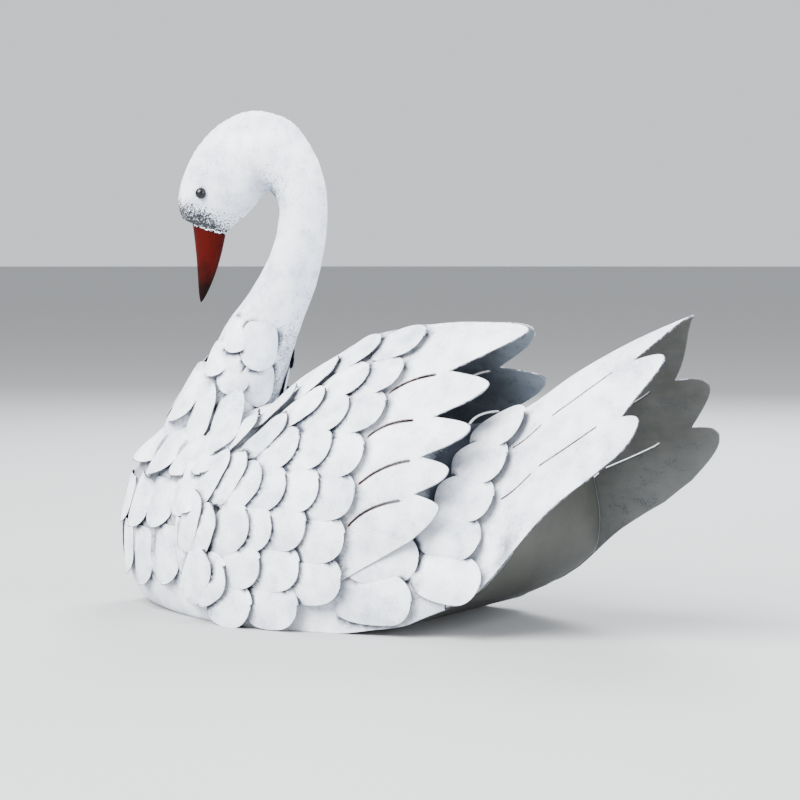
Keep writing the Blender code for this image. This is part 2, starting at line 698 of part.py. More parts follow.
def beak():
    """A closed cone, flattened from side to side, whose tip bends a little forward."""
    throat, crown = (Vector((x, 0, z)) for x, z in BEAK_BASE)
    tip = Vector((BEAK_TIP[0], 0, BEAK_TIP[1]))
    down = Vector((-0.29, 0, -0.957))
    rings = []
    for share in (0, 0.25, 0.5, 0.75, 0.94):
        centre = (throat + crown) / 2 * (1 - share) + tip * share
        centre.x += BEAK_BEND * math.sin(share * math.pi)
        half = (crown - throat) / 2 * (1 - share) ** BEAK_TAPER
        width = BEAK_HALF_THICKNESS * (1 - share) ** BEAK_TAPER
        turns = [2 * math.pi * k / BEAK_POINTS for k in range(BEAK_POINTS)]
        side = Vector((0, -width, 0))
        rings.append([centre + half * math.cos(t) + side * math.sin(t) + down * GAP for t in turns])
    points = [p for ring in rings for p in ring]
    faces = [tuple(range(BEAK_POINTS))]
    faces += [face[::-1] for face in grid_faces(len(rings), BEAK_POINTS, closed=True)]
    points.append(tip)
    base = (len(rings) - 1) * BEAK_POINTS
    faces += [(base + (j + 1) % BEAK_POINTS, base + j, len(points) - 1) for j in range(BEAK_POINTS)]
    return mesh_object("beak", points, faces, "beak_red")


def nearest_on_head(x, z):
    """Station and turn of the point on the left side of the head that is nearest to a side-view place."""
    last = len(NECK_STATIONS) - 1
    stations, turns = np.linspace(HEAD_START, last, 121), np.linspace(0.025, 0.975, 39)
    choices = [(u, turn) for u in stations for turn in turns]
    return min(choices, key=lambda at: math.hypot(neck_point(*at).x - x, neck_point(*at).z - z))


def eye(name, side):
    """A glossy bead on the side of the head."""
    u, turn = nearest_on_head(*EYE_PLACE)
    seat = neck_point(u, turn)
    out = normal_at(neck_point, u, turn, Vector((seat.x, 0, seat.z)))
    place = seat + out * GAP
    flat = out.cross(Vector((0, 0, 1))).normalized()
    upright = out.cross(flat)
    points, rings, around = [], 3, 10
    for i in range(rings):
        lean = math.pi / 2 * i / rings
        for k in range(around):
            turn = 2 * math.pi * k / around
            spread = (flat * math.cos(turn) + upright * math.sin(turn)) * math.cos(lean)
            points.append(place + (spread + out * math.sin(lean)) * EYE_RADIUS)
    points.append(place + out * EYE_RADIUS)
    faces = [tuple(range(around))[::-1]] + grid_faces(rings, around, closed=True)
    base = (rings - 1) * around
    faces += [(base + k, base + (k + 1) % around, len(points) - 1) for k in range(around)]
    points = [Vector((p.x, -side * p.y, p.z)) for p in points]
    middle = Vector((place.x, -side * place.y, place.z))
    return mesh_object(name, points, facing(points, faces, middle), "eye_black")


# ---------------------------------------------------------------- bands of scale plates
def scallops(joints, count=4):
    """(position, depth) along a free edge: a rounded lobe between each two joints."""
    edge = []
    for i in range(count * (len(joints) - 1) + 1):
        lobe_number = min(i // count, len(joints) - 2)
        share = i / count - lobe_number
        start, end = joints[lobe_number], joints[lobe_number + 1]
        depth = LOBE_DEPTH * (math.sqrt(1 - (0.96 * (2 * share - 1)) ** 2) - 1)
        edge.append((start + (end - start) * share, depth))
    return edge


def joints_between(tips):
    """Joints halfway between the tips of neighbouring lobes, and one past each end."""
    first = tips[0] + (tips[0] - tips[1]) / 2
    last = tips[-1] + (tips[-1] - tips[-2]) / 2
    return [first] + [(a + b) / 2 for a, b in zip(tips, tips[1:])] + [last]


def banded(name, surface, outward, free, roots, lift, rows):
    """A strip from its roots to its scalloped free edge. Lift is its height off a surface at each of them."""
    points = []
    for i in range(rows):
        share = i / (rows - 1)
        for (free_a, free_b), (root_a, root_b) in zip(free, roots):
            a, b = root_a + share * (free_a - root_a), root_b + share * (free_b - root_b)
            height = lift[0] + share * (lift[1] - lift[0]) + SCALE_PLATE
            points.append(surface(a, b) + normal_at(surface, a, b, outward) * height)
    faces = facing(points, grid_faces(rows, len(free)), outward)
    return thicken(mesh_object(name, points, faces, "white_paint"), SCALE_PLATE)


def wing_band(name, side, column):
    """One column of a wing's scales, from the top edge down. Its lobes point to the rear."""
    tip_x, heights = WING_COLUMNS[column]
    joints = joints_between(heights)
    joints[-1] = max(joints[-1], 0.004)
    free, roots = [], []
    for z, depth in scallops(joints):
        line_x = tip_x + COLUMN_SLANT * (z - COLUMN_MIDDLE)
        free.append((line_x + depth, min(z, value_at(WING_TOP, line_x + depth) - 0.001)))
        root_x = line_x - SCALE_LENGTH
        roots.append((root_x, min(z, value_at(WING_TOP, root_x) - 0.001 - 0.1 * (heights[0] - z))))
    roots = [(x, min(z, roots[0][1] - 0.0004 * i)) for i, (x, z) in enumerate(roots)]
    rows = 2 if tip_x > -0.06 else 3
    return banded(name, wing_surface(side), Vector((-0.02, 0, 0.03)), free, roots, (ROOT_LIFT, TIP_LIFT), rows)


def rear_band(name, side, band):
    """Scales on the body behind a wing. Their lobes point to the rear."""
    tip_x, joints, length = REAR_BANDS[band]
    free = [(tip_x + depth, side * arc) for arc, depth in scallops(list(joints))]
    roots = [(tip_x - length, side * arc) for arc, _ in scallops(list(joints))]
    lift = (0.0012 + 0.0016 * band, 0.0036 + 0.0016 * band)
    return banded(name, rear_point, Vector((0.09, 0, 0.02)), free, roots, lift, 3)


def neck_band(name, band):
    """A row of scales round the front of the neck. Their lobes point down."""
    tip_u, reach, lobes = NECK_BANDS[band]
    joints = [1 - reach / 2 + reach * k / lobes for k in range(lobes + 1)]
    edge = scallops(joints, 3)
    free = [(tip_u - depth / LOBE_DEPTH * 0.42, turn) for turn, depth in edge]
    roots = [(tip_u + NECK_BAND_LENGTH, turn) for turn, _ in edge]
    return banded(name, neck_point, Vector((-0.14, 0, 0.18)), free, roots, (NECK_ROOT_LIFT, TIP_LIFT), 3)


def breast_band(name, band):
    """A row of scales round the breast. Their lobes point down."""
    tip_z, root_z, reach, lobes = BREAST_BANDS[band]
    edge = scallops([reach * (2 * k / lobes - 1) for k in range(lobes + 1)], 3)
    free = [(angle, tip_z - depth) for angle, depth in edge]
    roots = [(angle, root_z) for angle, _ in edge]
    return banded(name, breast_point, Vector((-0.13, 0, 0.06)), free, roots, (BREAST_ROOT_LIFT, TIP_LIFT), 3)


# ---------------------------------------------------------------- assembly
def build():
    for old in list(bpy.data.objects):
        bpy.data.objects.remove(old, do_unlink=True)
    body_shell()
    belly_plate()
    tail()
    neck(body_cutter())
    head()
    beak()
    for side, label in ((-1, "left"), (1, "right")):
        wing(f"wing_{label}", side)
        eye(f"eye_{label}", side)
        for column in range(len(WING_COLUMNS)):
            wing_band(f"wing_{label}_scales_{column + 1}", side, column)
        for band in range(len(REAR_BANDS)):
            rear_band(f"rear_{label}_scales_{band + 1}", side, band)
    for band in range(len(NECK_BANDS)):
        neck_band(f"neck_scales_{band + 1}", band)
    for band in range(len(BREAST_BANDS)):
        breast_band(f"breast_scales_{band + 1}", band)


build()
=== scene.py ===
import math
import random
from collections import namedtuple

import bpy
import numpy as np
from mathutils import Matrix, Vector
from mathutils.geometry import delaunay_2d_cdt


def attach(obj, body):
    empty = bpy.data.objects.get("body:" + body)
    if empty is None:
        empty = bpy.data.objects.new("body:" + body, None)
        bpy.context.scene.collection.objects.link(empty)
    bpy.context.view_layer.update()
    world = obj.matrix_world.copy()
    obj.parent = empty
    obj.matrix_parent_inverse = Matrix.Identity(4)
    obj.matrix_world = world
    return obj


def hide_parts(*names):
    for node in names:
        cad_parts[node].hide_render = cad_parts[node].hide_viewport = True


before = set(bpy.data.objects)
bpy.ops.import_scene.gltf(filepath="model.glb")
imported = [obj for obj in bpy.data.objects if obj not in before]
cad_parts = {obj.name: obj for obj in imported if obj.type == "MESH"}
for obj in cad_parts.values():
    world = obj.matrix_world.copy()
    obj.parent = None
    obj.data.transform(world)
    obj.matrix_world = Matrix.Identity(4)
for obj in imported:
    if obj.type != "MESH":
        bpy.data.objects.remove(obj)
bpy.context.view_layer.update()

bl_info = {
    "name": "Painted metal swan",
    "version": (1, 0, 0),
    "blender": (4, 5, 0),
    "location": "3D View > Sidebar > Swan",
    "description": "Builds a garden swan cut from white-painted steel sheet, piece by piece",
    "category": "Object",
}


# ---- curves through named sizes
def hermite(t, start, end, leaving, arriving):
    """A cubic from start to end with its slopes at both."""
    first = (1 + 2 * t) * (1 - t) ** 2 * start + t * (1 - t) ** 2 * leaving
    return first + t * t * (3 - 2 * t) * end + t * t * (t - 1) * arriving


class Line:
    """A smooth curve through (station, value) rows that never overshoots them."""

    def __init__(self, *rows):
        self.xs = np.array([row[0] for row in rows], float)
        self.ys = np.array([row[1] for row in rows], float)
        steps = np.diff(self.xs)
        rises = np.diff(self.ys) / steps
        slopes = np.zeros(len(self.xs))
        slopes[0], slopes[-1] = rises[0], rises[-1]
        for i in range(1, len(self.xs) - 1):
            if rises[i - 1] * rises[i] > 0:
                before = 2 * steps[i] + steps[i - 1]
                after = steps[i] + 2 * steps[i - 1]
                slopes[i] = (before + after) / (before / rises[i - 1] + after / rises[i])
        self.slopes = slopes

    def __call__(self, x):
        x = np.clip(x, self.xs[0], self.xs[-1])
        i = np.clip(np.searchsorted(self.xs, x, side="right") - 1, 0, len(self.xs) - 2)
        step = self.xs[i + 1] - self.xs[i]
        leaving, arriving = step * self.slopes[i], step * self.slopes[i + 1]
        return hermite((x - self.xs[i]) / step, self.ys[i], self.ys[i + 1], leaving, arriving)


def bezier(start, lead, follow, end, count):
    """Points along a cubic, without its last one."""
    t = np.arange(count)[:, None] / count
    corners = [np.array(p, float) for p in (start, lead, follow, end)]
    weights = ((1 - t) ** 3, 3 * t * (1 - t) ** 2, 3 * t * t * (1 - t), t ** 3)
    return sum(w * p for w, p in zip(weights, corners))


def lobe(start, tip, end, up, blunt, count=12):
    """One feather end from notch to notch by way of its rounded tip. Up is the side it starts on."""
    start, tip, end, up = (np.array(p, float) for p in (start, tip, end, up))
    far = tip + up * blunt
    near = tip - up * blunt * 1.6
    upper = bezier(start, start + 0.55 * (far - start), far, tip, count)
    lower = bezier(tip, near, end + 0.45 * (near - end), end, count)
    return np.vstack((upper, lower))


def ease(low, high, x):
    """0 below low, 1 above high and smooth between."""
    t = np.clip((np.asarray(x, float) - low) / (high - low), 0, 1)
    return t * t * (3 - 2 * t)


def bell(x, middle, width):
    """1 in the middle, falling away smoothly on both sides."""
    return np.exp(-((x - middle) / width) ** 2)


def unit(vectors):
    """The same directions, one long."""
    return vectors / np.maximum(np.linalg.norm(vectors, axis=-1, keepdims=True), 1e-12)


def full_turn(count):
    """Even steps of angle all the way round."""
    return np.linspace(0, 2 * np.pi, count, endpoint=False)


def alike(a, b):
    """Two parameters as arrays of one shape."""
    return np.broadcast_arrays(np.asarray(a, float), np.asarray(b, float))


def places(x, y, z):
    """Points from their coordinates."""
    return np.stack(np.broadcast_arrays(x, y, z), -1)


# ---- the swan's own sizes, in metres
ORIGIN_SHIFT = 0.00565        # from the maker's zero to the middle of the box
SIDES = {-1: "left", 1: "right"}
BODY_FRONT, RIM_FRONT, BODY_WIDEST, BODY_REAR = -0.246, -0.225, -0.062, 0.084
BODY_HALF_WIDTH, GROUND_HALF_WIDTH = 0.101, 0.1
RIDGE = Line(
    (-0.246, 0.062), (-0.242, 0.088), (-0.228, 0.116), (-0.2, 0.141), (-0.165, 0.151),
    (-0.1, 0.153), (-0.03, 0.149), (0.04, 0.147), (0.08, 0.1505), (0.11, 0.163),
    (0.15, 0.189), (0.2, 0.215), (0.245, 0.2335),
)
RIM = Line(
    (-0.246, 0.06), (-0.242, 0.034), (-0.234, 0.01), (-0.225, 0.0), (0.0, 0.0),
    (0.03, 0.004), (0.053, 0.008), (0.068, 0.0145), (0.089, 0.0235),
)
WAIST = Line((-0.246, 0.061), (-0.225, 0.055), (0.0, 0.05), (0.05, 0.036), (0.084, 0.0225))
REAR_WIDTH = Line((-0.062, 0.101), (0.0, 0.0965), (0.05, 0.0895), (0.084, 0.082))
ROUNDNESS = Line((-0.246, 2.3), (-0.08, 2.3), (0.0, 2.0), (0.084, 1.0))

TAIL_SPREAD = Line((0.084, 0.052), (0.115, 0.0485), (0.16, 0.05), (0.2, 0.051), (0.245, 0.051))
FAR_DROOP, FAR_DROOP_START, FAR_DROOP_FULL, FAR_DROOP_WIDTH = 0.018, 0.105, 0.185, 0.015
ARC_SPREAD = 0.025
TAIL_TIP = (0.2385, 0.0)
TAIL_FRONT = (0.0844, 0.1635)
# the edge of each half of the tail, left and right, as (X, length round the arch from the ridge)
TAIL_LEFT = {
    "rim": ((0.208, 0.115), (0.19, 0.1215), (0.163, 0.1275), (0.14, 0.1375), (0.116, 0.149), (0.1, 0.157)),
    "tips": ((0.2215, 0.1), (0.2325, 0.049)),
    "notches": ((0.2075, 0.083), (0.206, 0.037)),
    "guides": ((0.222, 0.028), (0.236, 0.014)),
}
TAIL_RIGHT = {
    "rim": ((0.208, 0.1225), (0.19, 0.128), (0.167, 0.1335), (0.139, 0.1405), (0.118, 0.148), (0.1, 0.157)),
    "tips": ((0.2325, 0.1015), (0.2335, 0.056)),
    "notches": ((0.2145, 0.0815), (0.21, 0.0395)),
    "guides": ((0.224, 0.026), (0.229, 0.006)),
}
TAIL_SLITS = (
    ((0.115, 0.051), (0.138, 0.049)), ((0.145, 0.048), (0.191, 0.039)),
    ((0.115, 0.09), (0.139, 0.087)), ((0.144, 0.086), (0.189, 0.082)),
)

BELLY_FRONT, BELLY_TURN, BELLY_REAR, BELLY_WALL, BELLY_TOP = -0.222, 0.098, 0.136, 0.085, 0.166
GAP = 0.0004                  # left between sheets that only touch

WING_BASE, WING_SPLIT, WING_BULGE, WING_CLEAR = 0.06, 0.003, 2.25, 0.0036
WING_TOP = Line(
    (-0.14, 0.14), (-0.11, 0.16), (-0.086, 0.178), (-0.052, 0.197), (-0.022, 0.212),
    (0.016, 0.2195), (0.06, 0.2235), (0.091, 0.2235), (0.112, 0.2185),
)
WING_WIDTH = Line(
    (-0.15, 0.084), (-0.12, 0.0965), (-0.097, 0.1015), (-0.062, 0.105), (-0.033, 0.1035),
    (0.0, 0.1), (0.05, 0.0925), (0.084, 0.087), (0.12, 0.083),
)
FEATHER_NOTCHES = ((0.064, 0.189), (0.0645, 0.157), (0.0625, 0.129), (0.0615, 0.103))
FEATHER_TIPS = ((0.1105, 0.2175), (0.0995, 0.179), (0.0955, 0.149), (0.0855, 0.1195), (0.0815, 0.093))
WING_LOWER_EDGE = (
    (0.06, 0.069), (0.028, 0.05), (0.004, 0.036), (-0.012, 0.026), (-0.04, 0.0165), (-0.108, 0.0155),
)
WING_FRONT_EDGE = ((-0.136, 0.034), (-0.143, 0.062), (-0.142, 0.092), (-0.135, 0.122), (-0.12, 0.148))
WING_SLITS = (
    ((0.022, 0.172), (0.036, 0.181), (0.055, 0.186)),
    ((0.017, 0.141), (0.03, 0.15), (0.05, 0.154)),
    ((0.018, 0.108), (0.035, 0.12), (0.055, 0.126)),
    ((0.013, 0.078), (0.029, 0.091), (0.052, 0.098)),
)

# throat edge (X, Z), nape edge (X, Z), half thickness, sharpness of the welded edges
NECK_STATIONS = np.array((
    (-0.214, 0.12, -0.124, 0.142, 0.04, 1.0),
    (-0.203, 0.145, -0.112, 0.17, 0.042, 1.0),
    (-0.187, 0.168, -0.1035, 0.188, 0.035, 1.1),
    (-0.17, 0.191, -0.096, 0.204, 0.029, 1.25),
    (-0.1535, 0.2195, -0.0865, 0.2245, 0.0255, 1.4),
    (-0.134, 0.242, -0.0755, 0.2485, 0.023, 1.5),
    (-0.118, 0.265, -0.069, 0.2715, 0.0205, 1.5),
    (-0.109, 0.286, -0.0655, 0.2905, 0.0188, 1.5),
    (-0.1055, 0.3035, -0.0648, 0.3125, 0.018, 1.5),
    (-0.1075, 0.3125, -0.0675, 0.3305, 0.018, 1.5),
    (-0.111, 0.3185, -0.077, 0.352, 0.0182, 1.5),
    (-0.115, 0.3215, -0.0965, 0.374, 0.0186, 1.5),
    (-0.12, 0.3205, -0.129, 0.383, 0.019, 1.5),
    (-0.133, 0.3075, -0.158, 0.3755, 0.0192, 1.5),
    (-0.146, 0.298, -0.1815, 0.357, 0.019, 1.5),
    (-0.1525, 0.2935, -0.1945, 0.336, 0.0175, 1.4),
    (-0.1555, 0.2915, -0.2, 0.3165, 0.015, 1.3),
    (-0.1575, 0.2903, -0.1965, 0.3025, 0.0125, 1.2),
))
HEAD_END = len(NECK_STATIONS) - 1.0

BEAK_BASE = ((-0.1575, 0.2895), (-0.1862, 0.2983))
BEAK_TIP = (-0.18, 0.2358)
BEAK_HALF_THICKNESS, BEAK_BEND, BEAK_TAPER = 0.0105, 0.0019, 0.7
EYE_PLACE = (-0.166, 0.3203)

# the wing's scale plates as (X, Z of the round end, its rise in degrees, width), in slanted columns from the rear
WING_PLATES = (
    (0.033, 0.2125, 16, 0.036), (0.028, 0.19, 19, 0.036), (0.026, 0.164, 17, 0.036), (0.019, 0.134, 16, 0.037),
    (0.018, 0.105, 13, 0.038), (0.013, 0.074, 9, 0.038), (0.011, 0.044, 9, 0.038), (-0.0235, 0.0205, 5, 0.036),
    (-0.006, 0.209, 34, 0.032), (0.0, 0.187, 24, 0.034), (-0.0045, 0.164, 25, 0.036), (-0.0085, 0.139, 24, 0.036),
    (-0.011, 0.11, 21, 0.037), (-0.0175, 0.081, 14, 0.038), (-0.022, 0.0525, 12, 0.038),
    (-0.0615, 0.019, 2, 0.036),
    (-0.035, 0.192, 38, 0.028), (-0.0295, 0.17, 30, 0.033), (-0.037, 0.14, 33, 0.036), (-0.0385, 0.1115, 28, 0.036),
    (-0.046, 0.083, 27, 0.037), (-0.054, 0.053, 18, 0.038),
    (-0.066, 0.1705, 43, 0.026), (-0.058, 0.152, 44, 0.03), (-0.063, 0.117, 46, 0.034), (-0.0665, 0.086, 40, 0.035),
    (-0.084, 0.0455, 31, 0.036),
    (-0.0932, 0.149, 54, 0.024), (-0.082, 0.124, 58, 0.029), (-0.099, 0.088, 63, 0.028), (-0.103, 0.056, 56, 0.032),
    (-0.099, 0.125, 62, 0.026), (-0.115, 0.096, 72, 0.024),
)
# rear plates on the tail as (X, length round the arch from the ridge at the round end and at the root, length)
TAIL_PLATES = (
    (0.1235, 0.0314, 0.033, 0.047), (0.1175, 0.059, 0.0615, 0.047), (0.113, 0.0885, 0.093, 0.048),
    (0.1075, 0.118, 0.126, 0.05), (0.1135, 0.1507, 0.155, 0.054),
)
# rear plates low on the body as (X, Z at the round end and at the root)
FLANK_PLATES = (((0.0625, 0.057), (0.012, 0.053)), ((0.0615, 0.0273), (0.002, 0.026)))
# plates on the neck as (station, turn) of the root and of the round end, or the left end's own place in the air,
# width and lift of the end
NECK_PLATES = (
    ((4.1, 0.55), (3.0, 0.49), 0.027, 0.004), ((3.95, 0.38), (2.0, 0.23), 0.0285, 0.0052),
    ((3.45, 0.63), (2.0, 0.5), 0.0245, 0.0046), ((3.1, 0.45), (1.1, 0.31), 0.0265, 0.0046),
    ((2.25, 0.22), (0.65, 0.14), 0.0285, 0.005), ((3.1, 1.0), (1.6, 1.06), 0.024, 0.003),
    ((2.85, 0.8), (0.66, 0.6), 0.034, 0.006), ((1.85, 0.51), (-0.156, -0.052, 0.1292), 0.03, 0),
    ((1.14, 0.314), (-0.1104, -0.0843, 0.1255), 0.035, 0), ((0.8, 0.13), (-0.3, 0.19), 0.03, 0.012),
    ((2.2, 0.93), (0.95, 0.96), 0.026, 0.0024),
)
# plates that lap from the breast on to the wing's front as (X, Z) on the wing's sheet, width and lift of the end
SHOULDER_PLATES = (
    ((-0.1258, 0.119), (-0.126, 0.0795), 0.031, 0.0066), ((-0.1215, 0.139), (-0.1163, 0.1074), 0.028, 0.0062),
)
# plates on the breast as (angle from the front, height) of the root and of the round end, width and lift of the end
BREAST_PLATES = (
    ((0.52, 0.145), (-0.212, -0.0453, 0.1133), 0.039, 0), ((1.02, 0.139), (1.12, 0.103), 0.037, 0.0054),
    ((1.74, 0.134), (1.56, 0.104), 0.035, 0.005), ((2.0, 0.133), (1.87, 0.1075), 0.03, 0.004),
    ((0.0, 0.139), (0.0, 0.106), 0.034, 0.004),
    ((0.94, 0.103), (0.82, 0.064), 0.0375, 0.005), ((1.36, 0.103), (1.31, 0.066), 0.039, 0.0046),
    ((1.73, 0.108), (1.72, 0.0765), 0.038, 0.0042), ((0.42, 0.102), (0.38, 0.064), 0.034, 0.0036),
    ((0.0, 0.1), (0.0, 0.062), 0.034, 0.003),
    ((1.0, 0.066), (0.92, 0.021), 0.036, 0.0044), ((1.49, 0.07), (1.46, 0.025), 0.0365, 0.0042),
    ((0.55, 0.068), (0.5, 0.026), 0.034, 0.0044), ((0.0, 0.066), (0.0, 0.028), 0.036, 0.0044),
)


# ---- the sheets' surfaces
# a point inside each form, which its outside faces away from
INSIDE = {
    "body": (-0.05, 0, 0.06), "belly": (0, 0, 0.08), "tail": (0.16, 0, 0), "wing": (-0.02, 0, 0.03),
    "neck": (-0.11, 0, 0.2), "beak": (-0.175, 0, 0.28),
}


def body_half_width(x):
    """Half width of the body at its waist."""
    reach = np.clip((BODY_WIDEST - x) / (BODY_WIDEST - BODY_FRONT), 0, 1)
    return np.where(x > BODY_WIDEST, REAR_WIDTH(x), BODY_HALF_WIDTH * (1 - reach ** 1.8) ** 0.6)


def ground_half_width(x):
    """Half width of the body at its rim."""
    reach = np.clip((BODY_WIDEST - x) / (BODY_WIDEST - RIM_FRONT), 0, 1)
    return np.where(x > BODY_WIDEST, REAR_WIDTH(x) - 0.001, GROUND_HALF_WIDTH * (1 - reach ** 1.6) ** 0.85)


def body_section(x, angle):
    """Half width and height at an angle from 0 on the ridge by way of 1 at the waist to 2 on the rim."""
    top, waist, rim, width = RIDGE(x), WAIST(x), RIM(x), body_half_width(x)
    ground = np.minimum(ground_half_width(x), width)
    upper = np.clip(angle, 0, 1) * np.pi / 2
    lower = np.clip(angle - 1, 0, 1) * np.pi / 2
    share = np.clip(np.cos(upper), 0, 1) ** (2 / ROUNDNESS(x))
    across = np.where(angle <= 1, width * np.sin(upper), ground + (width - ground) * np.cos(lower))
    return across, np.where(angle <= 1, waist + (top - waist) * share, waist - (waist - rim) * np.sin(lower))


def body_reach(x, z):
    """Half width of the body at a station and height, 0 above its ridge."""
    top, waist, rim, width = RIDGE(x), WAIST(x), RIM(x), body_half_width(x)
    ground = np.minimum(ground_half_width(x), width)
    high = np.clip((z - waist) / (top - waist), 0, 1)
    low = np.clip((waist - z) / np.maximum(waist - rim, 1e-6), 0, 1)
    upper = width * np.sqrt(1 - high ** ROUNDNESS(x))
    lower = ground + (width - ground) * np.sqrt(1 - low * low)
    return np.where((x <= BODY_FRONT) | (z >= top), 0.0, np.where(z >= waist, upper, lower))


def arc_of(width):
    """Length round the tail's arch from the ridge to a half width."""
    slope = width / ARC_SPREAD
    return ARC_SPREAD / 2 * (slope * np.sqrt(1 + slope * slope) + np.arcsinh(slope))


ARC_WIDTHS = np.linspace(0, 0.12, 400)
ARC_LENGTHS = arc_of(ARC_WIDTHS)


def tail_point(x, arc):
    """Points on the outside of the tail arch. A negative arc is on the left."""
    width = np.interp(np.abs(arc), ARC_LENGTHS, ARC_WIDTHS)
    ramp = np.clip((x - FAR_DROOP_START) / (FAR_DROOP_FULL - FAR_DROOP_START), 0, 1)
    droop = np.where(arc > 0, FAR_DROOP * ramp * (1 - np.exp(-width / FAR_DROOP_WIDTH)), 0)
    height = RIDGE(x) - width * width / TAIL_SPREAD(x) - droop
    return places(x, np.copysign(width, arc), height)


def rear_point(x, arc):
    """Points on the body or tail, whichever is at that station."""
    x, arc = alike(x, arc)
    width = np.interp(np.abs(arc), ARC_LENGTHS, ARC_WIDTHS)
    share = np.clip(width / body_half_width(np.array(BODY_REAR)), 0, 1)
    across, height = body_section(x, np.arcsin(share) * 2 / np.pi)
    on_body = places(x, np.copysign(across, arc), height)
    blend = ease(BODY_REAR - 0.012, BODY_REAR + 0.012, x)[..., None]
    return on_body * (1 - blend) + tail_point(x, arc) * blend


def wing_reach(x, z):
    """How far a wing stands from the middle plane."""
    top, width = WING_TOP(x), WING_WIDTH(x)
    share = np.clip((top - z) / (top - WING_BASE), 0, 1)
    shell = WING_SPLIT + (width - WING_SPLIT) * (1 - (1 - share) ** WING_BULGE)
    lower = np.where(z > WING_BASE, np.maximum(z - 1.2 * WING_CLEAR, WING_BASE), z)
    rest = np.where(x > BODY_FRONT, body_reach(x, lower) + WING_CLEAR, 0)
    shell = shell - 0.0015 * (np.clip(WING_BASE - z, 0, 1) / WING_BASE) ** 2
    return (shell + rest) / 2 + np.hypot((shell - rest) / 2, 0.0008)


def wing_surface(side):
    """The wing on one side as a surface over X and Z."""
    return lambda x, z: places(x, side * wing_reach(x, z), z)


def neck_point(u, turn):
    """Points on the neck: turn 0 is the nape, 1 is the throat, and from 0 to 1 is the left side."""
    u, turn = alike(u, turn)
    last = len(NECK_STATIONS) - 1
    i = np.clip(np.floor(u).astype(int), 0, last - 1)
    t = (u - i)[..., None]
    before, start, end, after = (NECK_STATIONS[np.clip(i + k, 0, last)] for k in (-1, 0, 1, 2))
    row = hermite(t, start, end, (end - before) / 2, (after - start) / 2)
    across = np.cos(turn * np.pi)
    lean = np.sin(turn * np.pi)
    x = (row[..., 0] + row[..., 2]) / 2 + across * (row[..., 2] - row[..., 0]) / 2
    z = (row[..., 1] + row[..., 3]) / 2 + across * (row[..., 3] - row[..., 1]) / 2
    return places(x, -np.sign(lean) * row[..., 4] * np.abs(lean) ** row[..., 5], z)


BREAST_CENTRE, BREAST_REACH, HALVINGS = -0.150, 0.14, 34


def breast_point(angle, z):
    """Points on the front of the body, by the angle from the front and the height."""
    angle, z = alike(angle, z)
    near, far = np.zeros(angle.shape), np.full(angle.shape, BREAST_REACH)
    for _ in range(HALVINGS):
        middle = (near + far) / 2
        within = middle * np.abs(np.sin(angle)) < body_reach(BREAST_CENTRE - middle * np.cos(angle), z)
        near, far = np.where(within, middle, near), np.where(within, far, middle)
    return places(BREAST_CENTRE - near * np.cos(angle), -near * np.sin(angle), z)


def normals_of(surface, a, b, inner):
    """Unit normals of a surface, turned away from an inner point."""
    reach = 0.0006
    along = surface(a + reach, b) - surface(a - reach, b)
    across = surface(a, b + reach) - surface(a, b - reach)
    normal = unit(np.cross(along, across))
    outward = np.sum(normal * (surface(a, b) - np.array(inner)), axis=-1, keepdims=True)
    return normal * np.where(outward < 0, -1, 1)


# ---- flat outlines and their meshes
def inside(points, loop):
    """Which flat points are inside a closed loop."""
    hits = np.zeros(len(points), bool)
    for (ax, ay), (bx, by) in zip(loop, np.roll(loop, -1, 0)):
        if ay != by:
            crosses = (ay > points[:, 1]) != (by > points[:, 1])
            hits ^= crosses & (points[:, 0] < ax + (points[:, 1] - ay) / (by - ay) * (bx - ax))
    return hits


def distance_to(points, loops):
    """Distance from each flat point to the nearest of some closed loops."""
    nearest = np.full(len(points), np.inf)
    for loop in loops:
        for a, b in zip(loop, np.roll(loop, -1, 0)):
            side = b - a
            t = np.clip((points - a) @ side / max(side @ side, 1e-18), 0, 1)
            nearest = np.minimum(nearest, np.linalg.norm(points - a - t[:, None] * side, axis=1))
    return nearest


def leftward(along, distance):
    """The steps sideways, to the left of flat directions."""
    along = unit(along)
    return np.stack((-along[:, 1], along[:, 0]), 1) * distance


def turns_left(loop):
    """Whether a flat closed loop runs anticlockwise."""
    x, y = loop.T
    return np.sum(x * np.roll(y, -1) - np.roll(x, -1) * y) > 0


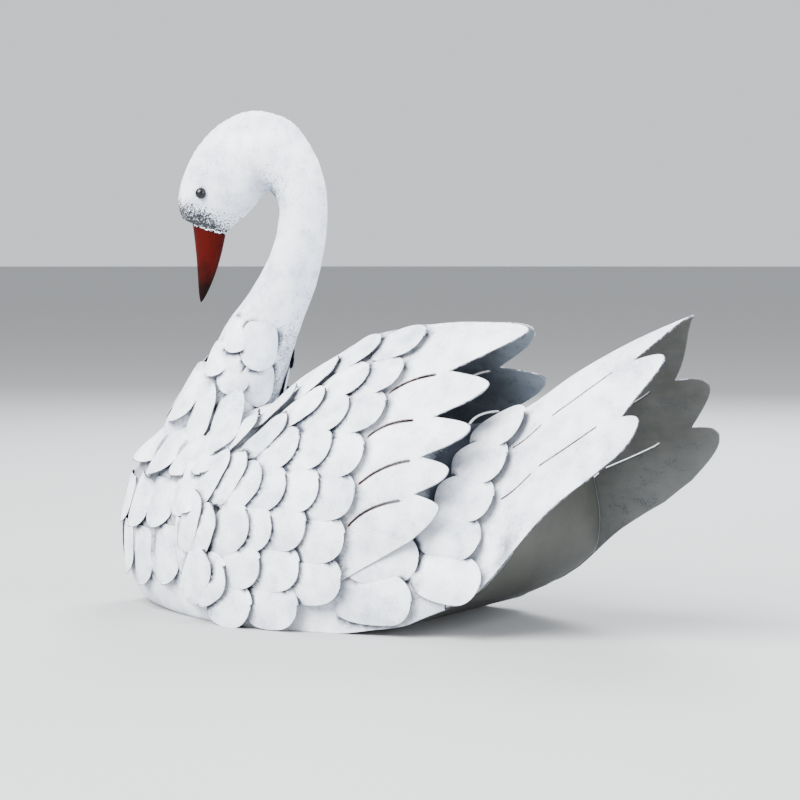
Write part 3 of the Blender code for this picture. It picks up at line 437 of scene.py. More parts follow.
def flat_mesh(outline, holes, step, band):
    """Points and triangles that fill an outline with holes, with a narrow band along every edge."""
    loops = [np.array(outline, float)] + [np.array(hole, float) for hole in holes]
    sides = [1 if turns_left(loops[0]) else -1] + [-1 if turns_left(hole) else 1 for hole in loops[1:]]
    rings = [loop + leftward(np.roll(loop, -1, 0) - np.roll(loop, 1, 0), side * band)
             for loop, side in zip(loops, sides)]
    low, high = loops[0].min(0), loops[0].max(0)
    columns, rows = ((high - low) / step).astype(int)
    i, j = np.meshgrid(np.arange(1, columns + 1), np.arange(1, rows + 1), indexing="ij")
    grid = np.stack((low[0] + i * step, low[1] + (j + 0.5 * (i % 2)) * step), -1).reshape(-1, 2)

    def on_sheet(points):
        fits = inside(points, loops[0])
        for hole in loops[1:]:
            fits &= ~inside(points, hole)
        return fits

    def kept(points, distance):
        return points[on_sheet(points) & (distance_to(points, loops) > distance)]

    free = np.vstack([kept(ring, 0.7 * band) for ring in rings] + [kept(grid, 0.6 * step)])
    points, edges = [], []
    for loop in loops:
        first = len(points)
        points += [Vector(p) for p in loop]
        edges += [(first + k, first + (k + 1) % len(loop)) for k in range(len(loop))]
    found = delaunay_2d_cdt(points + [Vector(p) for p in free], edges, [], 1, 1e-7)
    flat = np.array([tuple(p) for p in found[0]])
    faces = [tuple(face) for face in found[2]]
    fits = on_sheet(np.array([flat[list(face)].mean(0) for face in faces]))
    return flat, [face for face, fit in zip(faces, fits) if fit], loops


def grid_faces(rows, columns, closed=False):
    """Faces of a grid of points stored row by row, closed round each row if asked."""
    faces = []
    for i in range(rows - 1):
        for j in range(columns if closed else columns - 1):
            following = (j + 1) % columns
            here, above = i * columns, (i + 1) * columns
            faces.append((here + j, here + following, above + following, above + j))
    return faces


def face_normals(points, faces):
    """The first corner of each face and the way the face looks, as long as it is large."""
    corners = np.asarray(points)[np.array([face[:3] for face in faces])]
    return corners[:, 0], np.cross(corners[:, 1] - corners[:, 0], corners[:, 2] - corners[:, 0])


def facing(points, faces, inner):
    """The faces, all turned over if on the whole they face an inner point."""
    corner, normal = face_normals(points, faces)
    return faces if np.sum(normal * (corner - np.array(inner))) > 0 else [face[::-1] for face in faces]


def skin_normals(points, faces):
    """Unit normals at the points of a mesh."""
    total = np.zeros(np.shape(points))
    for k in range(3):
        np.add.at(total, [face[k] for face in faces], face_normals(points, faces)[1])
    return unit(total)


def capped(rings, first, last):
    """Points and faces of a skin of closed rings, with a middle point to close each end. The first end is
    closed by one flat face if it has no such point."""
    count = rings.shape[1]
    points = np.vstack([rings.reshape(-1, 3)] + [[middle] for middle in (first, last) if middle is not None])
    start = (len(rings) - 1) * count
    faces = grid_faces(len(rings), count, closed=True)
    if first is None:
        faces.append(tuple(range(count))[::-1])
    else:
        faces += [((j + 1) % count, j, len(points) - 2) for j in range(count)]
    faces += [(start + j, start + (j + 1) % count, len(points) - 1) for j in range(count)]
    return points, faces


# ---- shader maths
class Wire:
    """A shader value that takes part in ordinary arithmetic, each operation adding its Math node."""

    def __init__(self, finish, socket):
        self.finish = finish
        self.socket = socket

    def maths(self, operation, *values, clamp=False):
        settings = {"operation": operation, "use_clamp": clamp}
        return self.finish.node("ShaderNodeMath", settings, dict(enumerate(values)))

    def __add__(self, other):
        return self.maths("ADD", self, other)

    def __sub__(self, other):
        return self.maths("SUBTRACT", self, other)

    def __rsub__(self, other):
        return self.maths("SUBTRACT", other, self)

    def __mul__(self, other):
        return self.maths("MULTIPLY", self, other)

    __radd__, __rmul__ = __add__, __mul__

    def above(self, low, high):
        """0 below low, 1 above high and straight between."""
        return self.maths("DIVIDE", self - low, high - low, clamp=True)


class Finish:
    """One material and its nodes."""

    MIX_START, MIX_END, MIX_RESULT = 6, 7, 2      # the Mix node's sockets for colours

    def __init__(self, name):
        self.material = bpy.data.materials.new(name)
        self.material.use_nodes = True
        self.nodes = self.material.node_tree.nodes
        self.shader = self.nodes["Principled BSDF"]
        self.place = self.node("ShaderNodeTexCoord", {}, {}, "Object")

    def put(self, socket, value):
        if isinstance(value, Wire):
            self.material.node_tree.links.new(value.socket, socket)
        elif hasattr(value, "__len__") and len(value) < len(socket.default_value):
            socket.default_value = (*value, 1)
        else:
            socket.default_value = value

    def node(self, kind, settings, values, output=0):
        made = self.nodes.new(kind)
        for name, value in settings.items():
            setattr(made, name, value)
        for name, value in values.items():
            self.put(made.inputs[name], value)
        return Wire(self, made.outputs[output])

    def noise(self, scale, detail=3.0, roughness=0.55, stretch=None):
        place = self.place
        if stretch:
            place = self.node("ShaderNodeMapping", {}, {"Vector": place, "Scale": stretch})
        values = {"Vector": place, "Scale": scale, "Detail": detail, "Roughness": roughness}
        return self.node("ShaderNodeTexNoise", {}, values)

    def attribute(self, name):
        return self.node("ShaderNodeAttribute", {"attribute_name": name}, {}, "Fac")

    def mix(self, share, start, end):
        values = {"Factor": share, self.MIX_START: start, self.MIX_END: end}
        return self.node("ShaderNodeMix", {"data_type": "RGBA"}, values, self.MIX_RESULT)

    def bump(self, height, distance):
        return self.node("ShaderNodeBump", {}, {"Height": height, "Distance": distance, "Strength": 0.6})

    def set(self, **values):
        for name, value in values.items():
            self.put(self.shader.inputs[name.replace("_", " ")], value)


def sheet_paint(finish, colours, speckle, dirt):
    """Weathered white paint on steel: cool white, fine specks, dark patina with painted shade in the corners and
    under the plates' edges, and rust at the cuts.
    """
    cloud = finish.noise(26.0, 4.0)
    patch = finish.noise(75.0, 5.0, 0.6)
    grain = finish.noise(560.0, 4.0, 0.7)
    fine = finish.noise(760.0, 2.0, 0.6)
    labels = ("tone", "edge", "cut", "grime", "wash", "soot")
    tone, edge, cut, grime, wash, soot = (finish.attribute(label) for label in labels)
    shade = cloud.above(0.38, 0.72) * 0.45 + patch.above(0.42, 0.70) * 0.45 + tone * 0.6
    base = finish.mix(shade.above(0.0, 1.0), colours.paint, colours.paint_shade)
    specks = grain.above(0.54, 0.66) * (patch * 0.6 + cloud * 0.6).above(0.46, 0.72)
    base = finish.mix(specks * speckle, base, colours.speck)
    # painted shade with patina: the paint darkens near the free edges of plates that lie over it, in corners and
    # under the wing
    soft = (wash + (patch - 0.5) * 0.55 + (grain - 0.5) * 0.35 - 0.16) * wash.above(0.0, 0.12)
    base = finish.mix(soft.above(0.0, 0.52) * 0.98, base, colours.patina_and_shade)
    # dark dirt specks, and painted shade where the body's skin lies under the breast plates
    heavy = (grain * 0.8 + grime * 0.55 + patch * 0.25 - 0.45).above(0.24, 0.46) * grime.above(0.0, 0.15)
    base = finish.mix(heavy * dirt, base, colours.dirt)
    # painted shade with dirt: smooth darkening and dark specks in the crook under the head, and dark specks near the
    # beak's base
    base = finish.mix(soot.above(0.50, 1.15) * 0.65, base, colours.patina_and_shade)
    dots = (fine + soot * 0.29 - 0.5).above(0.165, 0.205) * soot.above(0.02, 0.12)
    base = finish.mix(dots * 0.97, base, colours.dirt)
    worn = (edge + (grain - 0.5) * 0.4 + (patch - 0.5) * 0.5).above(0.50, 0.95)
    base = finish.mix(worn * 0.9, base, colours.edge)
    rusty = (cut + (grain - 0.5) * 0.9).above(0.45, 0.75)
    base = finish.mix(rusty * 0.8, base, colours.rust)
    height = finish.noise(190.0, 2.0) * 0.7 + grain * 0.3 + worn * -0.5
    finish.set(Base_Color=base, Roughness=0.42 + cloud * 0.16 + worn * 0.25, Normal=finish.bump(height, 0.0005),
               Specular_IOR_Level=0.12)


def bare_paint(finish, colours, dark, light, speck):
    """The inside of a sheet: thin grey paint over dark steel, streaked and specked. It turns from its dark colour to
    its light one by a share per point that is partly weathering and partly painted light and shade.
    """
    dark, light, speck = (getattr(colours, shade) for shade in (dark, light, speck))
    cloud = finish.noise(30.0, 5.0, 0.6)
    streak = finish.noise(95.0, 4.0, 0.6, (0.30, 1.0, 1.0))
    patch = finish.noise(85.0, 5.0, 0.65)
    grain = finish.noise(650.0, 4.0, 0.7)
    fade, edge = finish.attribute("fade"), finish.attribute("edge")
    base = finish.mix((fade + (cloud - 0.5) * 0.7 + (streak - 0.5) * 0.4).above(0.0, 1.0), dark, light)
    specks = (grain * 0.55 + patch * 0.60).above(0.60, 0.72)
    base = finish.mix(specks * 0.65, base, speck)
    bright = (edge + (grain - 0.5) * 0.6).above(0.70, 0.95) * 0.40
    base = finish.mix(bright, base, colours.paint_shade)
    finish.set(Base_Color=base, Roughness=0.52 + streak * 0.2, Normal=finish.bump(cloud * 0.7 + grain * 0.3, 0.0006))


def rim_paint(finish, colours):
    """The cut edge of a sheet: dark steel under worn white paint, with a little rust."""
    patch = finish.noise(120.0, 4.0)
    grain = finish.noise(380.0, 4.0, 0.7)
    base = finish.mix(patch.above(0.56, 0.70) * 0.5, colours.edge, colours.rust)
    left = (grain * 0.6 + patch * 0.5).above(0.54, 0.62)
    base = finish.mix(left * 0.75, base, colours.paint_shade)
    finish.set(Base_Color=base, Roughness=0.55 + patch * 0.2)


def beak_paint(finish, colours):
    """Dark red enamel, thin and brown towards the tip."""
    cloud = finish.noise(110.0, 4.0)
    grain = finish.noise(700.0, 3.0, 0.7)
    thin = (finish.attribute("tip") + (cloud - 0.5) * 0.45).above(0.42, 0.80)
    base = finish.mix(thin, colours.beak, colours.beak_tip)
    base = finish.mix(cloud.above(0.50, 0.70) * 0.35, base, colours.beak_tip)
    base = finish.mix(grain.above(0.60, 0.74) * 0.5, base, colours.beak_tip)
    normal = finish.bump(cloud * 0.6 + grain * 0.3, 0.0004)
    finish.set(Base_Color=base, Roughness=0.40 + cloud * 0.18, Normal=normal, Specular_IOR_Level=0.06)


def bead_gloss(finish, colours):
    cloud = finish.noise(300.0)
    base = finish.mix(cloud.above(0.4, 0.8) * 0.4, colours.eye, (0.02, 0.02, 0.025))
    finish.set(Base_Color=base, Roughness=0.08 + cloud * 0.06, Specular_IOR_Level=0.30)


def floor_paint(finish, colours):
    finish.set(Base_Color=colours.floor, Roughness=0.85)


# the finishes by kind: what paints it, its name and what that painter asks for
FINISHES = {
    "white": (sheet_paint, "white_sheet_paint", 0.50, 0.9),
    "neck": (sheet_paint, "neck_sheet_paint", 0.75, 0.95),
    "plate": (sheet_paint, "scale_plate_paint", 0.50, 0.7),
    "under": (bare_paint, "belly_outside", "under", "under_faded", "slate_speck"),
    "slate": (bare_paint, "wing_inside", "slate", "slate_faded", "slate_speck"),
    "grey": (bare_paint, "tail_inside", "grey", "grey_faded", "slate"),
    "rim": (rim_paint, "cut_edge"),
    "beak": (beak_paint, "beak_enamel"),
    "eye": (bead_gloss, "eye_bead"),
    "floor": (floor_paint, "floor_paint"),
}


def finish_for(kind, colours):
    """The finish of that kind, made once."""
    paint, name, *wishes = FINISHES[kind]
    if name not in bpy.data.materials:
        paint(Finish(name), colours, *wishes)
    return bpy.data.materials[name]


# ---- making pieces
WELD_REACH = 0.00002          # points nearer than this become one
# how far the dark patina and painted shade reach from a plate's free edge over what lies below it
WING_SHADE, BODY_SHADE, TAIL_SHADE, NECK_SHADE, PLATE_SHADE = 0.0046, 0.0046, 0.004, 0.005, 0.003


def linked(name, data):
    """A new object in the scene."""
    made = bpy.data.objects.new(name, data)
    bpy.context.scene.collection.objects.link(made)
    return made


def piece(name, points, faces, kinds, colours, slot, stands_for=(), thickness=0.0, welded=False, **attributes):
    """A mesh object in the frame, riding on the ornament. A sheet gets its thickness inwards, with the second
    of its kinds of finish inside and the third on the cut edge."""
    mesh = bpy.data.meshes.new(name)
    moved = np.asarray(points, float) + (ORIGIN_SHIFT, 0, 0)
    mesh.from_pydata([tuple(p) for p in moved], [], [tuple(int(i) for i in face) for face in faces])
    mesh.validate()
    mesh.shade_smooth()
    for label, values in attributes.items():
        layer = mesh.attributes.new(label, "FLOAT", "POINT")
        layer.data.foreach_set("value", np.asarray(np.broadcast_to(values, len(mesh.vertices)), np.float32))
    for kind in kinds:
        mesh.materials.append(finish_for(kind, colours))
    made = linked(name, mesh)
    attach(made, "root")
    if stands_for:
        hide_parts(*stands_for)
    if welded:
        made.modifiers.new("weld", "WELD").merge_threshold = WELD_REACH
    if thickness:
        sheet = made.modifiers.new("sheet", "SOLIDIFY")
        sheet.thickness = thickness
        sheet.offset = -1
        sheet.use_even_offset = False
        sheet.material_offset, sheet.material_offset_rim = 1, 2


def cut_sheet(surface, outline, holes, step, inner, relief, sizes):
    """A sheet with holes laid on a surface: its flat places, its points and faces, and at each point how near
    it is to the outline and to a hole, from 1 on the edge to 0."""
    flat, faces, loops = flat_mesh(outline, holes, step, sizes.edge_band)
    a, b = flat.T
    points = surface(a, b) + normals_of(surface, a, b, inner) * relief(a, b)[:, None]
    edge, cut = (np.clip(1 - distance_to(flat, near) / sizes.edge_band, 0, 1) for near in (loops[:1], loops[1:]))
    return a, b, points, facing(points, faces, inner), edge, cut


def shaded(points, faces, reach, *layouts):
    """How near each point of a skin is to the free edges of the plates over it."""
    normals = skin_normals(points, faces)
    return np.max([plates.shade(points, normals, reach) for plates in layouts], axis=0)


# ---- body and belly
def body_skin(sizes, colours):
    """The hollow body, open below and behind."""
    nose = BODY_FRONT + (RIM_FRONT - BODY_FRONT) * np.array((0.004, 0.03, 0.08, 0.16, 0.3, 0.45, 0.65, 0.85))
    stations = np.concatenate((nose, np.linspace(BELLY_FRONT, BODY_REAR - GAP, 90)))
    half = np.concatenate((np.linspace(2.0, 1.0, 15), np.linspace(0.97, 0.0, 33)))      # rim, waist, ridge
    angles = np.concatenate((half, half[-2::-1]))
    sides = np.concatenate((-np.ones(len(half) - 1), np.ones(len(half))))
    x, angle = np.meshgrid(stations, angles, indexing="ij")
    across, height = body_section(x, angle)
    points = places(x, sides * across, height).reshape(-1, 3)
    faces = facing(points, grid_faces(len(stations), len(angles)), INSIDE["body"])
    rim = np.clip((angle.reshape(-1) - 1.9) * 10, 0, 1)
    x, _, z = points.T
    # painted shade: the skin darkens under the breast plates and under the wing, where shade falls
    under = ease(0.028, 0.05, z) * ease(-0.130, -0.150, x)
    under = np.maximum(under, ease(0.030, 0.055, z) * ease(0.055, 0.030, x) * 0.9)
    # painted shade with patina: the skin darkens behind and under the wing's feathers
    behind = ease(0.030, 0.070, x) * ease(0.030, 0.075, z)
    # painted shade with patina near the free edges of the plates over the skin
    wash = shaded(points, faces, BODY_SHADE, *(rear_layout(side, sizes) for side in SIDES), *front_layout(sizes))
    wash = np.maximum(np.maximum(wash * 0.9, 0.85 * behind), 0.5 * under)
    piece("body_skin", points, faces, ("white", "slate", "rim"), colours, "white_paint", ("body_shell",),
          sizes.sheet, welded=True, edge=rim * 0.8, grime=under * 0.25, wash=wash, tone=0.1)


def tail_rim(side):
    """The tail's lower rim on one side, from its front."""
    return [TAIL_FRONT, *(TAIL_LEFT if side < 0 else TAIL_RIGHT)["rim"][::-1]]


def rim_height(x, side):
    """Height of the tail's lower rim on one side."""
    return tail_point(x, side * np.interp(x, *zip(*tail_rim(side))))[..., 2]


def belly_half_width(x, z, side, sheet):
    """Half width that leaves the belly just inside the body or tail."""
    if x <= BODY_REAR:
        return max(float(body_section(np.array(x), np.array(2.0))[0]) - 2 * sheet - GAP, 0.002)
    widths = np.linspace(0, 0.1, 401)
    heights = tail_point(x, side * arc_of(widths))[:, 2]
    return widths[heights > z + 2.5 * sheet].max() - 2 * sheet


def belly(sizes, colours):
    """The sheet that closes the body below and runs up behind it under the tail."""
    level = [(x, float(RIM(x))) for x in np.linspace(BELLY_FRONT, 0.088, 60)]
    turn = (BELLY_TURN, float(RIM(BELLY_TURN)))
    curve = bezier(turn, (0.112, 0.025), (0.134, 0.045), (BELLY_REAR, BELLY_WALL), 24)
    wall = [(BELLY_REAR, z) for z in np.linspace(BELLY_WALL, BELLY_TOP, 24)]
    profile = level + [tuple(p) for p in curve] + wall
    shares = np.linspace(-1, 1, 33)
    points = []
    for x, z in profile:
        for share in shares:
            side = -1 if share < 0 else 1
            edge = max(z, float(rim_height(x, side))) + GAP if x > BODY_REAR else z
            width = belly_half_width(x, edge, side, sizes.sheet)
            points.append((x, share * width, z + (edge - z) * share * share))
    faces = facing(points, grid_faces(len(profile), len(shares)), INSIDE["belly"])
    # painted shade: the belly is darker low down and in its middle, lighter higher up and towards its sides
    fade = np.array([ease(0.0, 0.075, p[2]) * (0.55 + 0.45 * ease(0.0, 0.09, abs(p[1]))) for p in points])
    edge = np.tile(np.clip(np.abs(shares) * 30 - 29, 0, 1), len(profile))
    piece("belly_sheet", points, faces, ("under", "slate", "rim"), colours, "white_paint", ("belly_plate",),
          sizes.sheet, edge=edge, fade=fade)


# ---- tail
def tail_half(side):
    """Half of the tail's outline, from its front by way of the rim and the lobes to its tip."""
    half = TAIL_LEFT if side < 0 else TAIL_RIGHT
    low_tip, high_tip = half["tips"]
    low_notch, high_notch = half["notches"]
    front, last_arc = TAIL_FRONT
    line = [(front, last_arc * share) for share in np.linspace(0.03, 1, 26)]
    rim = tail_rim(side)
    fine = np.linspace(rim[0][0], rim[-1][0], 28)[1:-1]
    line += list(zip(fine, Line(*rim)(fine)))
    line += list(lobe(half["rim"][0], low_tip, low_notch, (-0.35, 0.94), 0.008))
    line += list(lobe(low_notch, high_tip, high_notch, (0.1, 0.99), 0.006))
    return np.array(line + list(bezier(high_notch, *half["guides"], TAIL_TIP, 14)))


def slit(line, width):
    """A narrow closed loop along a bent line of flat points, pointed at both ends."""
    line = np.array(line, float)
    offset = leftward(line[2:] - line[:-2], width / 2)
    return np.vstack((line[:1], line[1:-1] + offset, line[-1:], (line[1:-1] - offset)[::-1]))


SLIT_SHARES = np.array((0, 0.03, 0.1, 0.2, 0.3, 0.4, 0.5, 0.6, 0.7, 0.8, 0.9, 0.97, 1))[:, None]
TAIL_STEP, WING_STEP = 0.0055, 0.005      # between the points of a sheet's mesh
SLIT_BOW = 0.0012                         # of a slit in the tail
TAIL_GROOVES, GROOVE_WIDTH, GROOVE_DEPTH = (0.041, 0.084), 0.005, 0.001
FEATHER_CROWN = 0.0016                    # of a flight feather


def tail_relief(x, arc):
    """Grooves between the tail's lobes."""
    grooves = sum(bell(np.abs(arc), middle, GROOVE_WIDTH) for middle in TAIL_GROOVES)
    return -GROOVE_DEPTH * grooves * ease(0.190, 0.212, x)


def tail(sizes, colours):
    """The arched tail sheet with its lobes, notches and slits."""
    outline = np.vstack((tail_half(-1) * (1, -1), [TAIL_TIP], tail_half(1)[::-1]))
    holes = []
    for side in SIDES:
        for start, end in TAIL_SLITS:
            start, end = np.array(start) * (1, side), np.array(end) * (1, side)
            bow = np.array((0, SLIT_BOW * side)) * np.sin(np.pi * SLIT_SHARES)
            holes.append(slit(start + (end - start) * SLIT_SHARES + bow, sizes.slit))
    x, arc, points, faces, edge, cut = cut_sheet(tail_point, outline, holes, TAIL_STEP, INSIDE["tail"],
                                                 tail_relief, sizes)
    arc = np.abs(arc)
    # painted shade: the tail's inside is darker deep in the arch and towards its front, lighter towards the rim and
    # the rear
    fade = 0.15 + 0.85 * ease(0.06, 0.16, arc) * ease(0.10, 0.17, x)
    tone = 0.10 + 0.25 * ease(0.10, 0.15, arc)
    # painted shade with patina: darker near the rear plates' free edges, under the wing's feathers and in a smudge
    # beside the rear plates
    wash = 0.9 * shaded(points, faces, TAIL_SHADE, *(rear_layout(side, sizes) for side in SIDES))
    under_wing = ease(0.120, 0.085, x) * ease(0.135, 0.070, arc)
    smudge_and_shade = bell(x, 0.128, 0.010) * bell(arc, 0.132, 0.016)
    wash = np.maximum(wash, np.maximum(0.95 * under_wing, 0.55 * smudge_and_shade))
    piece("tail_sheet", points, faces, ("white", "grey", "rim"), colours, "white_paint", ("tail",), sizes.sheet,
          edge=edge * 0.85, cut=cut * 0.8, fade=fade, tone=tone, wash=wash)


# ---- wings
def wing_outline():
    """The wing's edge over X and Z: its top, the feathers' ends, its lower edge and its front."""
    stations = np.linspace(-0.110, 0.086, 44)
    top = np.stack((stations, WING_TOP(stations)), 1)
    starts = [(0.090, float(WING_TOP(0.090))), *FEATHER_NOTCHES]
    ends = [*FEATHER_NOTCHES, WING_LOWER_EDGE[0]]
    lobes = [lobe(start, tip, end, (0.12, 0.99), 0.0045) for start, tip, end in zip(starts, FEATHER_TIPS, ends)]
    corners = np.array([*WING_LOWER_EDGE, *WING_FRONT_EDGE, (-0.110, 0.160)])
    walked = np.concatenate(((0,), np.cumsum(np.linalg.norm(np.diff(corners, axis=0), axis=1))))
    fine = np.arange(0, walked[-1], 0.005)
    rest = np.stack([Line(*zip(walked, corners[:, k]))(fine) for k in (0, 1)], 1)
    return np.vstack((top, *lobes, rest))


def feather_relief(x, z):
    """Crown of each flight feather between the lines that run through the cuts and notches."""
    lines = [(WING_TOP.xs, WING_TOP.ys)]
    for (start, middle, end), notch in zip(WING_SLITS, FEATHER_NOTCHES):
        rows = (start, middle, end, (notch[0] + 0.004, notch[1] + 0.001), (0.12, notch[1] + 0.012))
        lines.append(tuple(zip(*rows)))
    lines.append(((-0.02, 0.06, 0.12), (0.025, 0.069, 0.100)))
    heights = np.array([np.interp(x, *line) for line in lines])
    relief = np.zeros(len(x))
    for upper, lower in zip(heights[:-1], heights[1:]):
        share = np.clip((z - lower) / np.maximum(upper - lower, 0.004), 0, 1)
        within = (z <= upper) & (z > lower)
        relief = np.where(within, 4 * share * (1 - share), relief)
    return FEATHER_CROWN * relief * ease(0.005, 0.045, x)


def wing(side, sizes, colours):
    """One wing sheet with its flight feathers and the slits between them."""
    holes = []
    for start, middle, end in WING_SLITS:
        start, middle, end = (np.array(p) for p in (start, middle, end))
        peak = 2 * middle - (start + end) / 2
        t = SLIT_SHARES
        holes.append(slit((1 - t) ** 2 * start + 2 * t * (1 - t) * peak + t * t * end, sizes.slit * 1.25))
    x, _, points, faces, edge, cut = cut_sheet(wing_surface(side), wing_outline(), holes, WING_STEP, INSIDE["wing"],
                                               feather_relief, sizes)
    # painted shade with patina near the free edges of the wing's plates
    wash = 0.95 * shaded(points, faces, WING_SHADE, wing_layout(side, sizes))
    # the inside turns lighter towards the feathers' ends: partly weathering and partly painted light, with painted
    # shade deep inside by the body
    fade = 0.12 + 0.80 * ease(0.040, 0.100, x)
    piece(f"wing_sheet_{SIDES[side]}", points, faces, ("white", "slate", "rim"), colours, "white_paint",
          (f"wing_{SIDES[side]}",), sizes.sheet, edge=edge * 0.85, cut=cut, wash=wash, fade=fade, tone=0.05)


# ---- neck, head, beak and eyes
BEAK_UP = np.array((0.29, 0, 0.957))      # from the beak's tip into the head
EYE_SEAT = 0.0012                         # from the head's skin to the middle of an eye
EYE_RING_GAP, EYE_RING_RADIUS = 0.0002, 0.00055
SEAM_HEIGHT, DENT_DEPTH = 0.0005, 0.00022
BEAK_OVERLAP, BEAK_WELD_RADIUS = 0.0003, 0.0006


def neck_skin(sizes, colours):
    """Two pressed halves welded along throat and nape, from inside the body to the beak's base."""
    count = 84
    stations = np.concatenate((np.linspace(0, 4, 44), np.linspace(4.06, 16, 150), np.linspace(16.1, HEAD_END, 12)))
    turns = np.linspace(-1, 1, count, endpoint=False)
    u, turn = np.meshgrid(stations, turns, indexing="ij")
    rings = neck_point(u, turn)
    across = unit(rings[:, count // 2] - rings[:, 0])
    wave = 0.00018 * np.sin(stations * 23.0) + 0.00016 * np.sin(stations * 41.0 + 1.3)
    for middle, sign in ((count // 2, 1), (0, -1)):
        for offset, share in ((-1, 0.45), (0, 1), (1, 0.45)):
            rings[:, (middle + offset) % count] += sign * across * ((SEAM_HEIGHT + wave) * share)[:, None]
    dents = np.sin(rings[..., 0] * 310 + 2) * np.sin(rings[..., 2] * 270) * np.sin(rings[..., 1] * 330 + 1)
    rings = rings + unit(rings - rings.mean(1, keepdims=True)) * (DENT_DEPTH * dents)[..., None]
    drop = rings[0] + (rings[0] - rings[3]) * 0.35
    rings, u, turn = (np.concatenate(rows) for rows in ((drop[None], rings), (u[:1], u), (turn[:1], turn)))
    points, faces = capped(rings, rings[0].mean(0), rings[-1].mean(0))
    faces = facing(points, faces, INSIDE["neck"])
    spread = np.abs(turn)
    back = ease(0.55, 0.05, spread) * ease(7.5, 2.5, u)
    seam = bell(np.minimum(spread, 1 - spread), 0, 0.025)
    throat, crown = (np.array((x, z)) for x, z in BEAK_BASE)
    above = (rings[..., [0, 2]] - (throat + crown) / 2) @ BEAK_UP[[0, 2]]
    low = ease(0.0270, 0.0030, above) * ease(9.5, 11.0, u) * (1 - 0.45 * ease(-0.166, -0.152, rings[..., 0]))
    # painted shade: the crook under the head is darkened, with dirt specks
    crook = bell(u, 9.7, 1.6) * bell(spread, 1, 0.36)
    soot = np.append(np.maximum(low, crook), (0, 1))
    grime = np.append(np.maximum(0.42 * back, 0.16 * seam), (1, 0.3))
    tone = np.append(0.25 + 0.30 * back + 0.9 * crook, (0.3, 0.3))
    # painted shade with patina near the free edges of the neck plates
    wash = 0.9 * shaded(points, faces, NECK_SHADE, front_layout(sizes)[1])
    piece("neck_and_head", points, faces, ("neck",), colours, "white_paint", ("neck", "head"),
          grime=grime, tone=tone, soot=soot, wash=wash)


def beak_ring(share, turns, grow=0.0):
    """Points round the beak at a share of its length from base to tip."""
    throat, crown, tip = (np.array((x, 0, z)) for x, z in (*BEAK_BASE, BEAK_TIP))
    taper = (1 - share) ** BEAK_TAPER
    centre = (throat + crown) / 2 * (1 - share) + tip * share
    centre[0] += BEAK_BEND * math.sin(share * math.pi)
    half = (crown - throat) / 2 * taper
    half = half * (1 + grow / max(np.linalg.norm(half), 1e-6))
    width = BEAK_HALF_THICKNESS * taper + grow
    lean = np.sin(turns)
    sides = -np.sign(lean) * width * np.abs(lean) ** 1.12
    return centre + np.cos(turns)[:, None] * half + places(0, sides, 0)


def beak(sizes, colours):
    """A cone folded from sheet, flattened from side to side."""
    turns = full_turn(56)
    shares = np.concatenate((np.linspace(0, 0.9, 34), (0.93, 0.955, 0.975, 0.988, 0.996)))
    rings = np.array([beak_ring(share, turns) - BEAK_UP * BEAK_OVERLAP for share in shares])
    points, faces = capped(rings, rings[0].mean(0), (BEAK_TIP[0], 0, BEAK_TIP[1]))
    tips = np.append(np.repeat(shares, len(turns)), (0, 1))
    piece("beak_cone", points, facing(points, faces, INSIDE["beak"]), ("beak",), colours, "beak_red", ("beak",),
          tip=tips)


def tube(path, radii, around=10):
    """Points and faces of a tube along a closed path."""
    path = np.asarray(path, float)
    along = unit(np.roll(path, -1, 0) - np.roll(path, 1, 0))
    out = path - path.mean(0)
    out = unit(out - along * np.sum(out * along, axis=1, keepdims=True))
    side = np.cross(along, out)
    turns = full_turn(around)
    circle = out[:, None] * np.cos(turns)[None, :, None] + side[:, None] * np.sin(turns)[None, :, None]
    points = path[:, None] + circle * np.asarray(radii)[:, None, None]
    faces = grid_faces(len(path), around, closed=True)
    last = (len(path) - 1) * around
    faces += [(last + j, last + (j + 1) % around, (j + 1) % around, j) for j in range(around)]
    return points.reshape(-1, 3), faces


def beak_weld(sizes, colours):
    """The lumpy painted bead that joins the beak to the head."""
    turns = full_turn(144)
    path = beak_ring(0.0, turns, 0.0004)
    ripple = 0.00045 * np.sin(turns * 9 + 0.6) + 0.00035 * np.sin(turns * 23)
    path = path + BEAK_UP * (0.0002 + ripple)[:, None]
    radii = BEAK_WELD_RADIUS + 0.00016 * np.sin(turns * 13) + 0.00014 * np.sin(turns * 29 + 2)
    points, faces = tube(path, radii)
    piece("beak_weld", points, facing(points, faces, path.mean(0)), ("neck",), colours, "white_paint",
          tone=0.1, soot=0.45)


